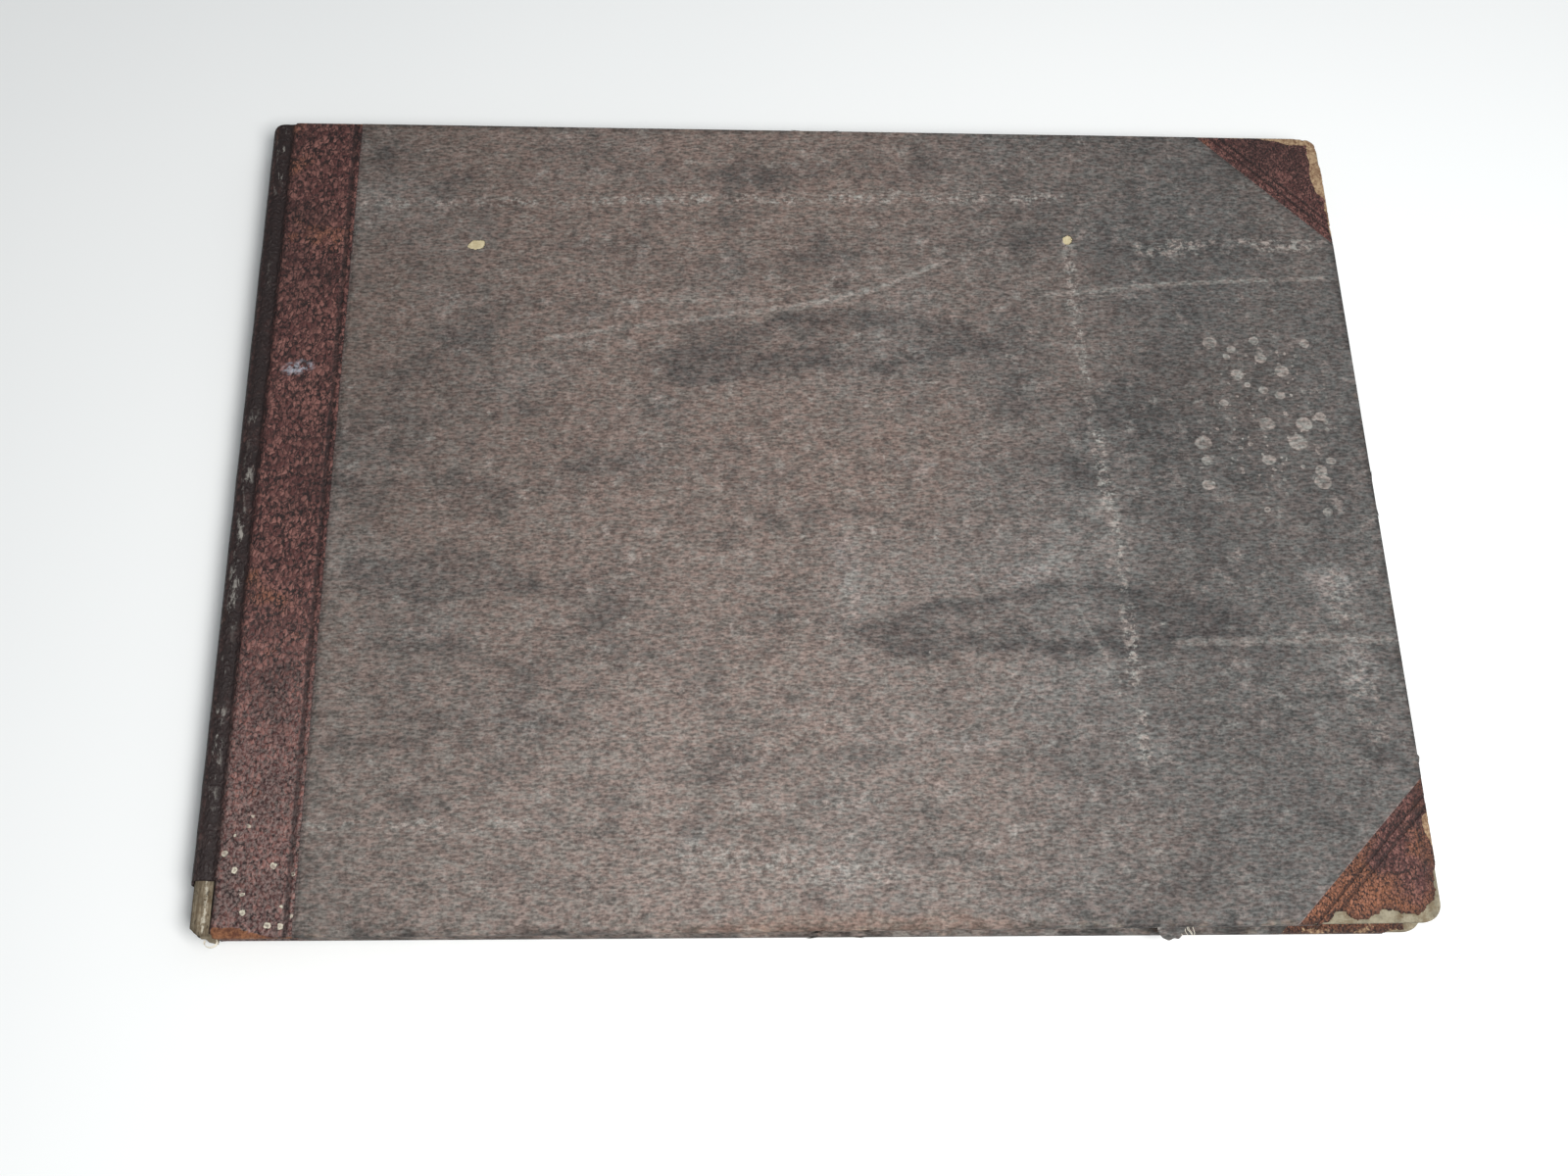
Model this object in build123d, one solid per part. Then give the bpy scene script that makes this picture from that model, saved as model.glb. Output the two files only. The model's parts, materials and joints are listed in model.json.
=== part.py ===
"""Oblong half-leather scrapbook album, closed and lying on its back cover.

Millimetres. X runs from the spine (-X) to the fore-edge (+X), Y from the tail (-Y) to the head (+Y),
and Z from the back cover (0) up to the front cover. The origin is the middle of the underside.
"""

import math
import os

from build123d import *

# ---- overall sizes -------------------------------------------------------------------------
ALBUM_LENGTH = 380.0        # spine to fore-edge
ALBUM_WIDTH = 288.0         # tail to head

# ---- case: boards and what covers them -----------------------------------------------------
BOARD_THICKNESS = 2.2
SKIN_THICKNESS = 0.5        # leather and cloth on the boards, pared level with each other
PASTEDOWN_THICKNESS = 0.15
CORNER_RADIUS = 6.0         # worn fore-edge corners of both boards
TURN_IN = 16.0              # how far leather and cloth are folded over the board's inside
LEATHER_STRIP_WIDTH = 24.0  # spine leather on each board, from the hinge to the cloth
CORNER_LEG = 45.0           # leather corner piece, along each edge
PASTEDOWN_INSET = 4.0       # bare margin of turn-in round the pastedown
BACK_TURN = 0.36            # degrees that the back board has settled askew in its joint

# ---- spine ---------------------------------------------------------------------------------
SPINE_WIDTH = 7.5           # from the outer face of the spine to the hinge line
SPINE_LEATHER = 0.8
SPINE_SHOULDER_RADIUS = 3.0
SPINE_STEP = 0.3            # the spine lies this much below the outer faces of the boards
SPINE_LOSS = 17.0           # leather torn away at the tail of the spine
SPINE_CARD = 1.0
HOLLOW_LINING = 0.4
MULL_THICKNESS = 0.3
TAPE_THICKNESS = 0.3
TAPE_WIDTH = 12.0
TAPE_PITCH = 82.0
TAPE_COUNT = 3
TAPE_SLIP_LENGTH = 30.0     # end of each tape, glued to the board under the pastedown

# ---- leaves and their binding --------------------------------------------------------------
LEAF_COUNT = 10
LEAF_THICKNESS = 0.4
ENDPAPER_THICKNESS = 0.15
SQUARE = 4.5                # how far the boards stand past the leaves
BINDING_MARGIN = 7.0        # from the hinge line to where each leaf bends up
ENDPAPER_MARGIN = 1.5       # the same for the two free endpapers
LINEN_WIDTH = 9.0           # linen hinge glued on each leaf
LINEN_THICKNESS = 0.1
THREAD_DIAMETER = 1.0
THREAD_INSET = 2.7          # from the spine edge of the stubs to the thread
STATION_PITCH = 72.0
STATION_COUNT = 4

# ---- clearances ----------------------------------------------------------------------------
LEAF_GAP = 0.26             # between neighbouring leaves
COVER_GAP = 0.25            # between an endpaper and its cover
HINGE_GAP = 0.3             # between the spine and a cover at the hinge line
STUB_GAP = 0.3              # between a stub and its leaf
THREAD_GAP = 0.1            # round the thread in its holes
SLIP_GAP = 0.1              # round each tape end in the infill

# ---- derived places ------------------------------------------------------------------------
HALF_LENGTH = ALBUM_LENGTH / 2
HALF_WIDTH = ALBUM_WIDTH / 2
SPINE_FACE = -HALF_LENGTH
HINGE_X = SPINE_FACE + SPINE_WIDTH
COVER_START = HINGE_X + HINGE_GAP / 2
BOARD_DEPTH = SKIN_THICKNESS + BOARD_THICKNESS
WRAP_DEPTH = BOARD_DEPTH + SKIN_THICKNESS
COVER_DEPTH = WRAP_DEPTH + PASTEDOWN_THICKNESS
STRIP_END = HINGE_X + LEATHER_STRIP_WIDTH
LEAF_PITCH = LEAF_THICKNESS + LEAF_GAP
LEAVES_BOTTOM = COVER_DEPTH + COVER_GAP + ENDPAPER_THICKNESS + LEAF_GAP
LEAVES_TOP = LEAVES_BOTTOM + LEAF_COUNT * LEAF_PITCH - LEAF_GAP
ALBUM_THICKNESS = LEAVES_TOP + LEAF_GAP + ENDPAPER_THICKNESS + COVER_GAP + COVER_DEPTH
LEAF_START = HINGE_X + BINDING_MARGIN
LEAF_END = HALF_LENGTH - SQUARE
LEAF_HALF_WIDTH = HALF_WIDTH - SQUARE
SPINE_CARD_X = SPINE_FACE + SPINE_LEATHER
LINING_X = SPINE_CARD_X + SPINE_CARD
MULL_X = LINING_X + HOLLOW_LINING
TAPE_X = MULL_X + MULL_THICKNESS
STUB_X = TAPE_X + TAPE_THICKNESS
THREAD_X = STUB_X + THREAD_INSET
BACK_SLIP = HALF_WIDTH * math.sin(math.radians(BACK_TURN))  # room that the turned board needs


def slab(x0, x1, y0, y1, z0, z1):
    """A rectangular piece between two opposite corners."""
    size = Box(x1 - x0, y1 - y0, abs(z1 - z0))
    return Pos((x0 + x1) / 2, (y0 + y1) / 2, (z0 + z1) / 2) * size


def place(depth, side):
    """Height of a layer that lies at a depth below the outer face of the front or back cover."""
    if side == "front":
        return ALBUM_THICKNESS - depth
    return depth


def layer(outline, depth0, depth1, side):
    """A flat outline made solid between two depths below the outer face of one cover."""
    low = min(place(depth0, side), place(depth1, side))
    return Pos(0, 0, low) * extrude(outline, abs(depth1 - depth0))


def cover_start(side):
    """Edge of a cover at the hinge line."""
    return COVER_START + (BACK_SLIP if side == "back" else 0)


def cover_end(side):
    """Fore-edge of a cover."""
    return HALF_LENGTH - (BACK_SLIP if side == "back" else 0)


def settle(shape, side):
    """Turn a piece of the back cover askew about the middle of that cover."""
    if side == "front":
        return shape
    middle = (cover_start(side) + cover_end(side)) / 2
    return Pos(middle, 0, 0) * Rot(0, 0, -BACK_TURN) * Pos(-middle, 0, 0) * shape


def outline(x0, x1, half_width, radius):
    """A sheet outline with its two fore-edge corners rounded."""
    shape = Pos((x0 + x1) / 2, 0) * Rectangle(x1 - x0, 2 * half_width)
    corners = shape.vertices().sort_by(Axis.X)[-2:]
    return fillet(corners, radius) if radius > 0 else shape


def corner_region(side, end):
    """The space of one leather corner: everything outside a diagonal line across the board."""
    reach = cover_end(side)
    diagonal_x = reach - CORNER_LEG
    diagonal_y = end * (HALF_WIDTH - CORNER_LEG)
    far_x = reach + CORNER_LEG
    far_y = end * (HALF_WIDTH + CORNER_LEG)
    points = [
        (diagonal_x, end * HALF_WIDTH),
        (reach, diagonal_y),
        (far_x, diagonal_y),
        (far_x, far_y),
        (diagonal_x, far_y),
    ]
    return layer(make_face(Polyline(*points, close=True)), 0, WRAP_DEPTH, side)


def cover_wrap(side):
    """The whole covering of one board: outer face, three edges and the folded-in margin."""
    outer = outline(cover_start(side), cover_end(side), HALF_WIDTH, CORNER_RADIUS)
    wrap = layer(outer, 0, WRAP_DEPTH, side)
    wrap -= layer(board_outline(side), SKIN_THICKNESS, BOARD_DEPTH, side)
    wrap -= layer(infill_outline(side), BOARD_DEPTH, WRAP_DEPTH, side)
    return wrap


def board_outline(side):
    """The bare board, one covering thickness inside the cover's edges."""
    end = cover_end(side) - SKIN_THICKNESS
    radius = CORNER_RADIUS - SKIN_THICKNESS
    return outline(cover_start(side), end, HALF_WIDTH - SKIN_THICKNESS, radius)


def infill_outline(side):
    """The inside of a board, within the folded-in margin."""
    return outline(cover_start(side), cover_end(side) - TURN_IN, HALF_WIDTH - TURN_IN, 0)


def tape_centres():
    """Where the tapes cross the spine."""
    first = -TAPE_PITCH * (TAPE_COUNT - 1) / 2
    return [first + TAPE_PITCH * i for i in range(TAPE_COUNT)]


def tape_slips(side, gap=0.0):
    """The tape ends that are glued flat on the inside of one board, or the slots for them."""
    start = cover_start(side)
    end = start + TAPE_SLIP_LENGTH + gap
    low = place(BOARD_DEPTH, side)
    high = place(WRAP_DEPTH, side)
    half = TAPE_WIDTH / 2 + gap
    return [slab(start, end, y - half, y + half, low, high) for y in tape_centres()]


def cover(side):
    """Every piece of one cover, by node name."""
    wrap = cover_wrap(side)
    strip = slab(HINGE_X, STRIP_END, -HALF_WIDTH, HALF_WIDTH, place(0, side), place(WRAP_DEPTH, side))
    head = corner_region(side, 1)
    tail = corner_region(side, -1)
    infill = layer(infill_outline(side), BOARD_DEPTH, WRAP_DEPTH, side)
    for slot in tape_slips(side, SLIP_GAP):
        infill -= slot
    page_end = cover_end(side) - PASTEDOWN_INSET
    page = outline(cover_start(side), page_end, HALF_WIDTH - PASTEDOWN_INSET, 0)
    pieces = {
        f"{side}_board": layer(board_outline(side), SKIN_THICKNESS, BOARD_DEPTH, side),
        f"{side}_joint_leather": wrap & strip,
        f"{side}_head_corner_leather": wrap & head,
        f"{side}_tail_corner_leather": wrap & tail,
        f"{side}_cloth": wrap - strip - head - tail,
        f"{side}_board_infill": infill,
        f"{side}_tape_slips": Compound(children=tape_slips(side)),
        f"{side}_pastedown": layer(page, WRAP_DEPTH, COVER_DEPTH, side),
    }
    return {name: settle(shape, side) for name, shape in pieces.items()}


def spine_leather():
    """The leather round the spine, with rounded shoulders and its tail end torn away."""
    low = SPINE_STEP
    high = ALBUM_THICKNESS - SPINE_STEP
    tail = -HALF_WIDTH + SPINE_LOSS
    end = HINGE_X - HINGE_GAP / 2
    outer = slab(SPINE_FACE, end, tail, HALF_WIDTH, low, high)
    inner = slab(
        SPINE_CARD_X, end + SPINE_WIDTH, tail, HALF_WIDTH, low + SPINE_LEATHER, high - SPINE_LEATHER
    )
    outer = round_shoulders(outer, SPINE_SHOULDER_RADIUS)
    inner = round_shoulders(inner, SPINE_SHOULDER_RADIUS - SPINE_LEATHER)
    return outer - inner


def round_shoulders(shape, radius):
    """Round the two long edges on the spine's outer side."""
    edges = shape.edges().filter_by(Axis.Y).sort_by(Axis.X)[:2]
    return fillet(edges, radius)


def spine_layer(x, thickness):
    """One lining of the spine, as tall as the sewn leaves."""
    return slab(x, x + thickness, -LEAF_HALF_WIDTH, LEAF_HALF_WIDTH, LEAVES_BOTTOM, LEAVES_TOP)


def spine_card():
    """The stiffener of the spine, which reaches both ends of the boards."""
    low = SPINE_STEP + SPINE_SHOULDER_RADIUS
    high = ALBUM_THICKNESS - low
    reach = HALF_WIDTH - SKIN_THICKNESS
    return slab(SPINE_CARD_X, SPINE_CARD_X + SPINE_CARD, -reach, reach, low, high)


def spine_tapes():
    """The tapes where they cross the spine edge of the stubs."""
    half = TAPE_WIDTH / 2
    return Compound(
        children=[
            slab(TAPE_X, STUB_X, y - half, y + half, LEAVES_BOTTOM, LEAVES_TOP) for y in tape_centres()
        ]
    )


def stations():
    """Where the thread goes through the stubs."""
    first = -STATION_PITCH * (STATION_COUNT - 1) / 2
    return [first + STATION_PITCH * i for i in range(STATION_COUNT)]


def leaf_bottom(number):
    """Underside of a leaf, counted from the front of the album."""
    return LEAVES_BOTTOM + (LEAF_COUNT - number) * LEAF_PITCH


def binding_stubs():
    """The card stub of every leaf, pierced for the thread."""
    hole_radius = THREAD_DIAMETER / 2 + THREAD_GAP
    end = LEAF_START - STUB_GAP
    stubs = []
    for number in range(1, LEAF_COUNT + 1):
        low = leaf_bottom(number)
        high = low + LEAF_THICKNESS
        stub = slab(STUB_X, end, -LEAF_HALF_WIDTH, LEAF_HALF_WIDTH, low, high)
        for y in stations():
            stub -= Pos(THREAD_X, y, low) * Cylinder(hole_radius, 4 * LEAF_THICKNESS)
        stubs.append(stub)
    return Compound(children=stubs)


def sewing_thread():
    """One thread, up and down through the stubs, with runs above and below them."""
    radius = THREAD_DIAMETER / 2
    low = LEAVES_BOTTOM - radius - THREAD_GAP
    high = LEAVES_TOP + radius + THREAD_GAP
    upright = Cylinder(radius, high - low)
    places = stations()
    thread = Part()
    for y in places:
        thread += Pos(THREAD_X, y, (low + high) / 2) * upright
        thread += Pos(THREAD_X, y, low) * Sphere(radius)
        thread += Pos(THREAD_X, y, high) * Sphere(radius)
    for index, (start, end) in enumerate(zip(places, places[1:])):
        level = high if index % 2 == 0 else low
        run = Rot(90, 0, 0) * Cylinder(radius, end - start)
        thread += Pos(THREAD_X, (start + end) / 2, level) * run
    return thread


def leaf(number):
    """One card leaf."""
    low = leaf_bottom(number)
    return slab(LEAF_START, LEAF_END, -LEAF_HALF_WIDTH, LEAF_HALF_WIDTH, low, low + LEAF_THICKNESS)


def leaf_linen(number):
    """The linen strip glued along the inner edge of a leaf."""
    low = leaf_bottom(number) + LEAF_THICKNESS
    end = LEAF_START + LINEN_WIDTH
    return slab(LEAF_START, end, -LEAF_HALF_WIDTH, LEAF_HALF_WIDTH, low, low + LINEN_THICKNESS)


def free_endpaper(side):
    """The loose half of an endpaper, between the cover and the leaves."""
    start = HINGE_X + ENDPAPER_MARGIN
    low = place(COVER_DEPTH + COVER_GAP, side)
    high = place(COVER_DEPTH + COVER_GAP + ENDPAPER_THICKNESS, side)
    return slab(start, LEAF_END, -LEAF_HALF_WIDTH, LEAF_HALF_WIDTH, low, high)


def build():
    """Every node of the album, by name."""
    nodes = {
        "spine_leather": spine_leather(),
        "spine_card": spine_card(),
        "spine_hollow_lining": spine_layer(LINING_X, HOLLOW_LINING),
        "spine_mull": spine_layer(MULL_X, MULL_THICKNESS),
        "spine_tapes": spine_tapes(),
        "binding_stubs": binding_stubs(),
        "sewing_thread": sewing_thread(),
    }
    for side in ("front", "back"):
        nodes.update(cover(side))
        nodes[f"{side}_free_endpaper"] = free_endpaper(side)
    for number in range(1, LEAF_COUNT + 1):
        nodes[f"leaf_{number:02d}"] = leaf(number)
        nodes[f"leaf_{number:02d}_linen_hinge"] = leaf_linen(number)
    return nodes


os.makedirs("parts", exist_ok=True)
for name, shape in build().items():
    export_step(shape, f"parts/{name}.step")
print(f"hinge line x {HINGE_X:.2f}, thickness {ALBUM_THICKNESS:.2f}")
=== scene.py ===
"""Looks of an oblong half-leather scrapbook album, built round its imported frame.

Metres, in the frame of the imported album: X from the spine to the fore-edge, Y from the tail to the head,
Z out of the front cover. Places of marks on the covers are given in millimetres.
"""

import json
import math

import bmesh
import bpy
from mathutils import Matrix, Vector, noise


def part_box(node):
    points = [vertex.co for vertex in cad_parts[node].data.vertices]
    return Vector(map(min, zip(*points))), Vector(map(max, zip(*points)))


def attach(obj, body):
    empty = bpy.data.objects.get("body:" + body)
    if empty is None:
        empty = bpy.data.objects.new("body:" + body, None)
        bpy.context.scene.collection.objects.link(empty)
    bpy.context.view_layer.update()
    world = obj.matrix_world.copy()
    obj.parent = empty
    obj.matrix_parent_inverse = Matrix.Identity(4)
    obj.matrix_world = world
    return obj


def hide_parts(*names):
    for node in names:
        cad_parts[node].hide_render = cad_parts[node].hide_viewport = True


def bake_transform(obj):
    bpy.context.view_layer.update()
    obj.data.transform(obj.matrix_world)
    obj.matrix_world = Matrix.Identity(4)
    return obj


bl_info = {
    "name": "Half-leather scrapbook album",
    "version": (1, 0, 0),
    "blender": (4, 5, 0),
    "location": "3D View > Sidebar > Album",
    "description": "Builds the cloth, leather, boards and papers of an antique oblong album",
    "category": "Object",
}

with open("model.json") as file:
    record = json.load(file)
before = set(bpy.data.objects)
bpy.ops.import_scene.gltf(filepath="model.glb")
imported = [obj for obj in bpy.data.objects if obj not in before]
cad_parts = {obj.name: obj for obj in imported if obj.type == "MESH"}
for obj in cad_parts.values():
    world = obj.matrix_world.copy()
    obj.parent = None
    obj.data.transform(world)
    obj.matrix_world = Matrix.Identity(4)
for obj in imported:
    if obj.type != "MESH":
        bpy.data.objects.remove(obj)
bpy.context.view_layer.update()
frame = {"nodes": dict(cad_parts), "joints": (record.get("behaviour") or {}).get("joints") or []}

# ---- places taken from the frame -----------------------------------------------------------
MM = 0.001
MARK_SEED = 5
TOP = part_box("front_cloth")[1].z
WRAP_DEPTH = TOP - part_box("front_cloth")[0].z
FORE_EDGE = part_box("front_cloth")[1].x
HALF_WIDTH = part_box("front_cloth")[1].y
SPINE_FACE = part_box("spine_leather")[0].x
SPINE_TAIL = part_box("spine_leather")[0].y
STRIP_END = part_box("front_joint_leather")[1].x
BOARD_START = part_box("front_board")[0].x
BOARD_MIDDLE = (BOARD_START + FORE_EDGE) / 2
BOARD_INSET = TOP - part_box("front_board")[1].z
BOARD_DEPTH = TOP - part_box("front_board")[0].z
HINGE = {joint["child"]: joint["pos_m"] for joint in frame["joints"]}
HINGE_X = HINGE["front_cover"][0]
BACK_TURN = math.radians(0.36)
BACK_SLIP = HALF_WIDTH * math.sin(BACK_TURN)
STUB_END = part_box("binding_stubs")[1].x
LEAF_NAMES = sorted(n for n in frame["nodes"] if n.startswith("leaf_") and not n.endswith("hinge"))

# ---- marks on the front cover, in millimetres from the middle of the album ------------------
# (x, y, half length, half width, turn in degrees, strength)
TIDE_MARKS = (
    (7, 55, 54, 9, 2, 0.8),
    (-28, 60, 17, 5, -8, 0.55),
    (74, -47, 60, 10, 1, 0.9),
    (104, -54, 12, 5, -4, 0.45),
    (-120, -31, 29, 7, -7, 0.7),
)
DARK_STAINS = (
    (-120, -31, 27, 6, -7, 0.6),
    (-147, -4, 6, 15, 0, 0.5),
    (-124, 27, 26, 3, 0, 0.4),
    (81, 98, 11, 6, 0, 0.9),
    (101, 5, 32, 7, -28, 0.5),
    (20, 52, 34, 7, 3, 0.35),
    (90, -42, 46, 4, 1, 0.5),
    (140, 35, 34, 34, 0, 0.35),
    (160, -95, 34, 30, 0, 0.25),
    (-20, 84, 60, 10, 4, 0.2),
    (2, -113, 50, 12, 2, 0.2),
)
PALE_SMEARS = (
    (66, -29, 14, 6, -8, 0.8),
    (11, -26, 5, 16, 12, 0.5),
    (46, -85, 16, 4, 4, 0.6),
    (36, 12, 12, 5, 0, 0.6),
    (2, -126, 7, 5, 0, 0.7),
    (-36, -118, 14, 4, 4, 0.5),
    (170, -34, 12, 10, 0, 0.95),
    (174, -63, 9, 12, 10, 0.85),
    (163, -78, 8, 4, 30, 0.5),
    (-60, 12, 9, 7, 0, 0.35),
    (-78, 66, 24, 3, 16, 0.35),
    (-100, -75, 20, 10, 0, 0.25),
)
# (x, y, x, y, half width, strength)
CREASES = (
    (-90, 57, -2, 71, 1.5, 0.45),
    (-2, 71, 24, 78, 1.7, 0.75),
    (24, 78, 50, 90, 1.3, 0.55),
    (-58, 72, -10, 73, 1.2, 0.3),
    (84, 76, 128, 81, 1.5, 0.6),
    (128, 81, 184, 84, 1.4, 0.5),
    (116, -53, 188, -52, 2.2, 0.4),
    (84, -40, 96, -66, 0.9, 0.35),
    (66, -66, 60, -76, 0.8, 0.45),
)
DOTTED_SCUFFS = (
    (-158, 110, -29, 114, 3.0, 0.8),
    (-29, 114, 91, 116, 3.2, 0.8),
    (93, 97, 93, 69, 3.2, 1.0),
    (93, 69, 96, 23, 2.6, 1.0),
    (96, 23, 100, -20, 3.4, 1.0),
    (100, -20, 102, -92, 3.6, 0.9),
    (-158, -111, -90, -111, 2.8, 0.9),
    (-55, -107, 18, -105, 2.2, 0.6),
    (120, 95, 182, 98, 5.0, 0.8),
    (10, -8, 12, -38, 3.4, 0.6),
    (-45, -120, 20, -128, 7.0, 0.6),
    (172, -30, 176, -82, 8.0, 0.6),
)
# (x, y, radius)
MILDEW_RINGS = (
    (147, 55, 1.6),
    (145, 52, 1.4),
    (155.5, 58.5, 1.8),
    (173.5, 57.5, 1.9),
    (156.5, 39, 1.8),
    (162, 37, 1.9),
    (151, 41, 1.2),
    (175, 29, 2.0),
    (133.5, 12, 1.9),
    (172.5, 8.5, 2.2),
    (176.5, 12, 1.8),
    (152, -6, 1.1),
    (142, 34, 1.6),
    (155, 12.5, 2.4),
    (139.6, 57.4, 2.6),
    (157, 51.4, 2.2),
    (148, 45, 2.4),
    (164, 46.4, 2.6),
    (156, 26, 3.0),
    (169, 26, 3.0),
    (166, 19, 3.4),
    (133, 18.7, 3.0),
    (133, 3, 2.3),
    (172.6, 4.2, 3.0),
    (172.6, -7, 1.8),
)
MILDEW_FIELD = (156, 30, 32, 44, 0)
# (spacing, radius, share of the places taken, strength)
SCATTERED_MILDEW = ((7.5, 2.0, 0.4, 0.8), (3.4, 1.0, 0.75, 1.0), (2.1, 0.6, 0.75, 0.95))
# (x, y, radius)
CLOTH_HOLES = ((-116.2, 93.7, 2.6), (92.5, 98.6, 2.0))
# (x, y, half length, half width, turn in degrees), and a strength where there is a sixth
LEATHER_MOULD_FIELD = (-169, -125, 15, 24, 0)
LEATHER_SCUFF = (-172.6, 45.1, 6.5, 3.0, 12)
TAIL_EDGE_BROWN = (5, -141, 75, 5, 0)
PASTED_SCRAPS = (
    (-92, 56, 44, 58, 3),
    (18, 70, 38, 28, -4),
    (20, -38, 52, 36, 2),
    (116, 12, 36, 54, -2),
    (-96, -66, 56, 34, -3),
)
BACK_TIDES = ((-40, 30, 70, 30, 20, 0.5), (90, -60, 50, 18, -10, 0.6))
BACK_STAINS = ((20, 10, 90, 60, 0, 0.25), (-110, -80, 40, 24, 20, 0.4), (130, 80, 30, 22, 0, 0.35))
BACK_SMEARS = ((-60, -20, 40, 8, 12, 0.5), (60, 70, 26, 9, -20, 0.5), (120, -30, 18, 18, 0, 0.4))


# ---- colours of marks, dirt, bare places, painted shadow and painted highlight ---------------
SMEARED_THREADS = (0.28, 0.265, 0.25, 1.0)
RUBBED_EDGE = (0.30, 0.24, 0.18, 1.0)
EDGE_SOIL = (0.035, 0.033, 0.032, 1.0)
# painted highlight: the pinkish light line along the cloth's cut edges
HEM_HIGHLIGHT = (0.33, 0.25, 0.23, 1.0)
EDGE_BROWN = (0.27, 0.17, 0.12, 1.0)
COOL_THREAD = (0.96, 1.01, 1.05, 1.0)
WARM_THREAD = (1.07, 0.98, 1.0, 1.0)
LEATHER_DUST = (0.34, 0.26, 0.24, 1.0)
GRAZED_RIDGE = (0.36, 0.34, 0.31, 1.0)
LEATHER_MOULD = (0.66, 0.62, 0.50, 1.0)
BLUISH_SCUFF = (0.40, 0.42, 0.48, 1.0)
SCRATCH = (0.40, 0.31, 0.27, 1.0)
RUST_DEEP = (0.10, 0.038, 0.022, 1.0)
RUST_PALE = (0.25, 0.105, 0.048, 1.0)
TAN_DEEP = (0.17, 0.095, 0.055, 1.0)
CARD_GRIME = (0.10, 0.065, 0.035, 1.0)
CARD_STAIN = (0.14, 0.095, 0.055, 1.0)
CARD_FLAKE = (0.38, 0.34, 0.27, 1.0)
CLEAN_CARD = ((0.46, 0.39, 0.24, 1.0), (0.62, 0.54, 0.36, 1.0))
PLY_SHADOW = (0.10, 0.075, 0.05, 1.0)
TORN_PAPER = (0.48, 0.44, 0.36, 1.0)
CARD_CRACK = (0.05, 0.04, 0.03, 1.0)
FOXING = (0.32, 0.17, 0.07, 1.0)
PROTECTED_PAPER = (0.70, 0.63, 0.50, 1.0)
FLOOR_TONES = ((0.83, 0.85, 0.86, 1.0), (0.90, 0.91, 0.91, 1.0))
SKY_TINT = (0.93, 0.97, 1.0, 1.0)
SKY_STRENGTH = 0.26

# ---- small measures that several pieces share -----------------------------------------------
TINY = 1e-6
LEATHER_SINK = 0.06 * MM
LEATHER_LIFT = 0.1 * MM
SHOULDER = 3.0 * MM
SPINE_END_RADIUS = 5.5 * MM
JOINT_END_RADIUS = 2.6 * MM
BOARD_BEVEL = 0.45 * MM
FLAT = (1.0, 1.0, 0.0)
HALVES = (0.5, 0.5, 0.5)


# ---- sizes and colours a user may change -----------------------------------------------------
def length_setting(name, description, default):
    return bpy.props.FloatProperty(
        name=name, description=description, default=default, min=0.0, unit="LENGTH", precision=5
    )


def colour_setting(name, description, default):
    return bpy.props.FloatVectorProperty(
        name=name, description=description, default=default, size=3, min=0.0, max=1.0, subtype="COLOR"
    )


class AlbumSizes(bpy.types.PropertyGroup):
    """Sizes of the coverings and their grain"""

    edge_radius: length_setting("Edge radius", "Rounding of the covering over the board's edge", 0.9 * MM)
    corner_radius: length_setting("Corner radius", "Worn rounding of the fore-edge corners", 6 * MM)
    turn_in: length_setting("Turn-in", "Covering folded over the inside of the board", 15 * MM)
    cloth_thickness: length_setting("Cloth", "Thickness of the book cloth", 0.36 * MM)
    cloth_proud: length_setting("Cloth rise", "How far the cloth stands above the leather", 0.12 * MM)
    leather_thickness: length_setting("Leather", "Thickness of the pared leather", 0.42 * MM)
    leather_under: length_setting("Leather under cloth", "Leather hidden below the cloth's edge", 3 * MM)
    corner_leg: length_setting("Corner leg", "Length of a leather corner along each edge", 46 * MM)
    cloth_step: length_setting("Cloth mesh step", "Spacing of the cloth's mesh", 2.0 * MM)
    leather_step: length_setting("Leather mesh step", "Spacing of the leather's mesh", 0.9 * MM)
    pebble: length_setting("Leather pebble", "Size of one pebble of the leather's grain", 1.6 * MM)
    rib_pitch: length_setting("Rib pitch", "Spacing of the cloth's ribs", 1.25 * MM)


class AlbumColours(bpy.types.PropertyGroup):
    """Colours of the coverings, boards and papers"""

    cloth_brown: colour_setting("Cloth, brown", "Faded brown of the cloth", (0.190, 0.152, 0.130))
    cloth_grey: colour_setting("Cloth, grey", "Grey of the cloth where it is soiled", (0.128, 0.122, 0.114))
    cloth_pale: colour_setting("Cloth, pale", "Rubbed threads of the cloth", (0.340, 0.310, 0.280))
    cloth_dark: colour_setting("Cloth, dark", "Wet-stained cloth", (0.062, 0.060, 0.058))
    mildew: colour_setting("Mildew", "Mildew on the cloth", (0.360, 0.335, 0.300))
    leather_dark: colour_setting("Leather, dark", "Crevices of the leather", (0.015, 0.009, 0.009))
    leather_mid: colour_setting("Leather, maroon", "Maroon of the leather", (0.094, 0.036, 0.033))
    leather_light: colour_setting("Leather, light", "Tops of the leather's grain", (0.215, 0.096, 0.082))
    leather_rubbed: colour_setting("Leather, rubbed", "Rubbed orange-brown leather", (0.330, 0.130, 0.055))
    leather_tan: colour_setting("Leather, tan", "Bare inside of worn leather", (0.430, 0.310, 0.190))
    board_card: colour_setting("Board", "Grey-cream board", (0.250, 0.222, 0.160))
    spine_lining: colour_setting("Spine lining", "Card and paper under the leather", (0.230, 0.190, 0.135))
    paper_aged: colour_setting("Paper", "Aged paper", (0.640, 0.560, 0.430))
    leaf_card: colour_setting("Leaf", "Aged leaf card", (0.560, 0.480, 0.360))
    linen: colour_setting("Linen", "Unbleached linen", (0.560, 0.490, 0.370))


def sizes():
    return bpy.context.scene.album_sizes


def colour_of(key):
    """A colour of the album's settings, opaque."""
    return (*getattr(bpy.context.scene.album_colours, key), 1.0)


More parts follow.
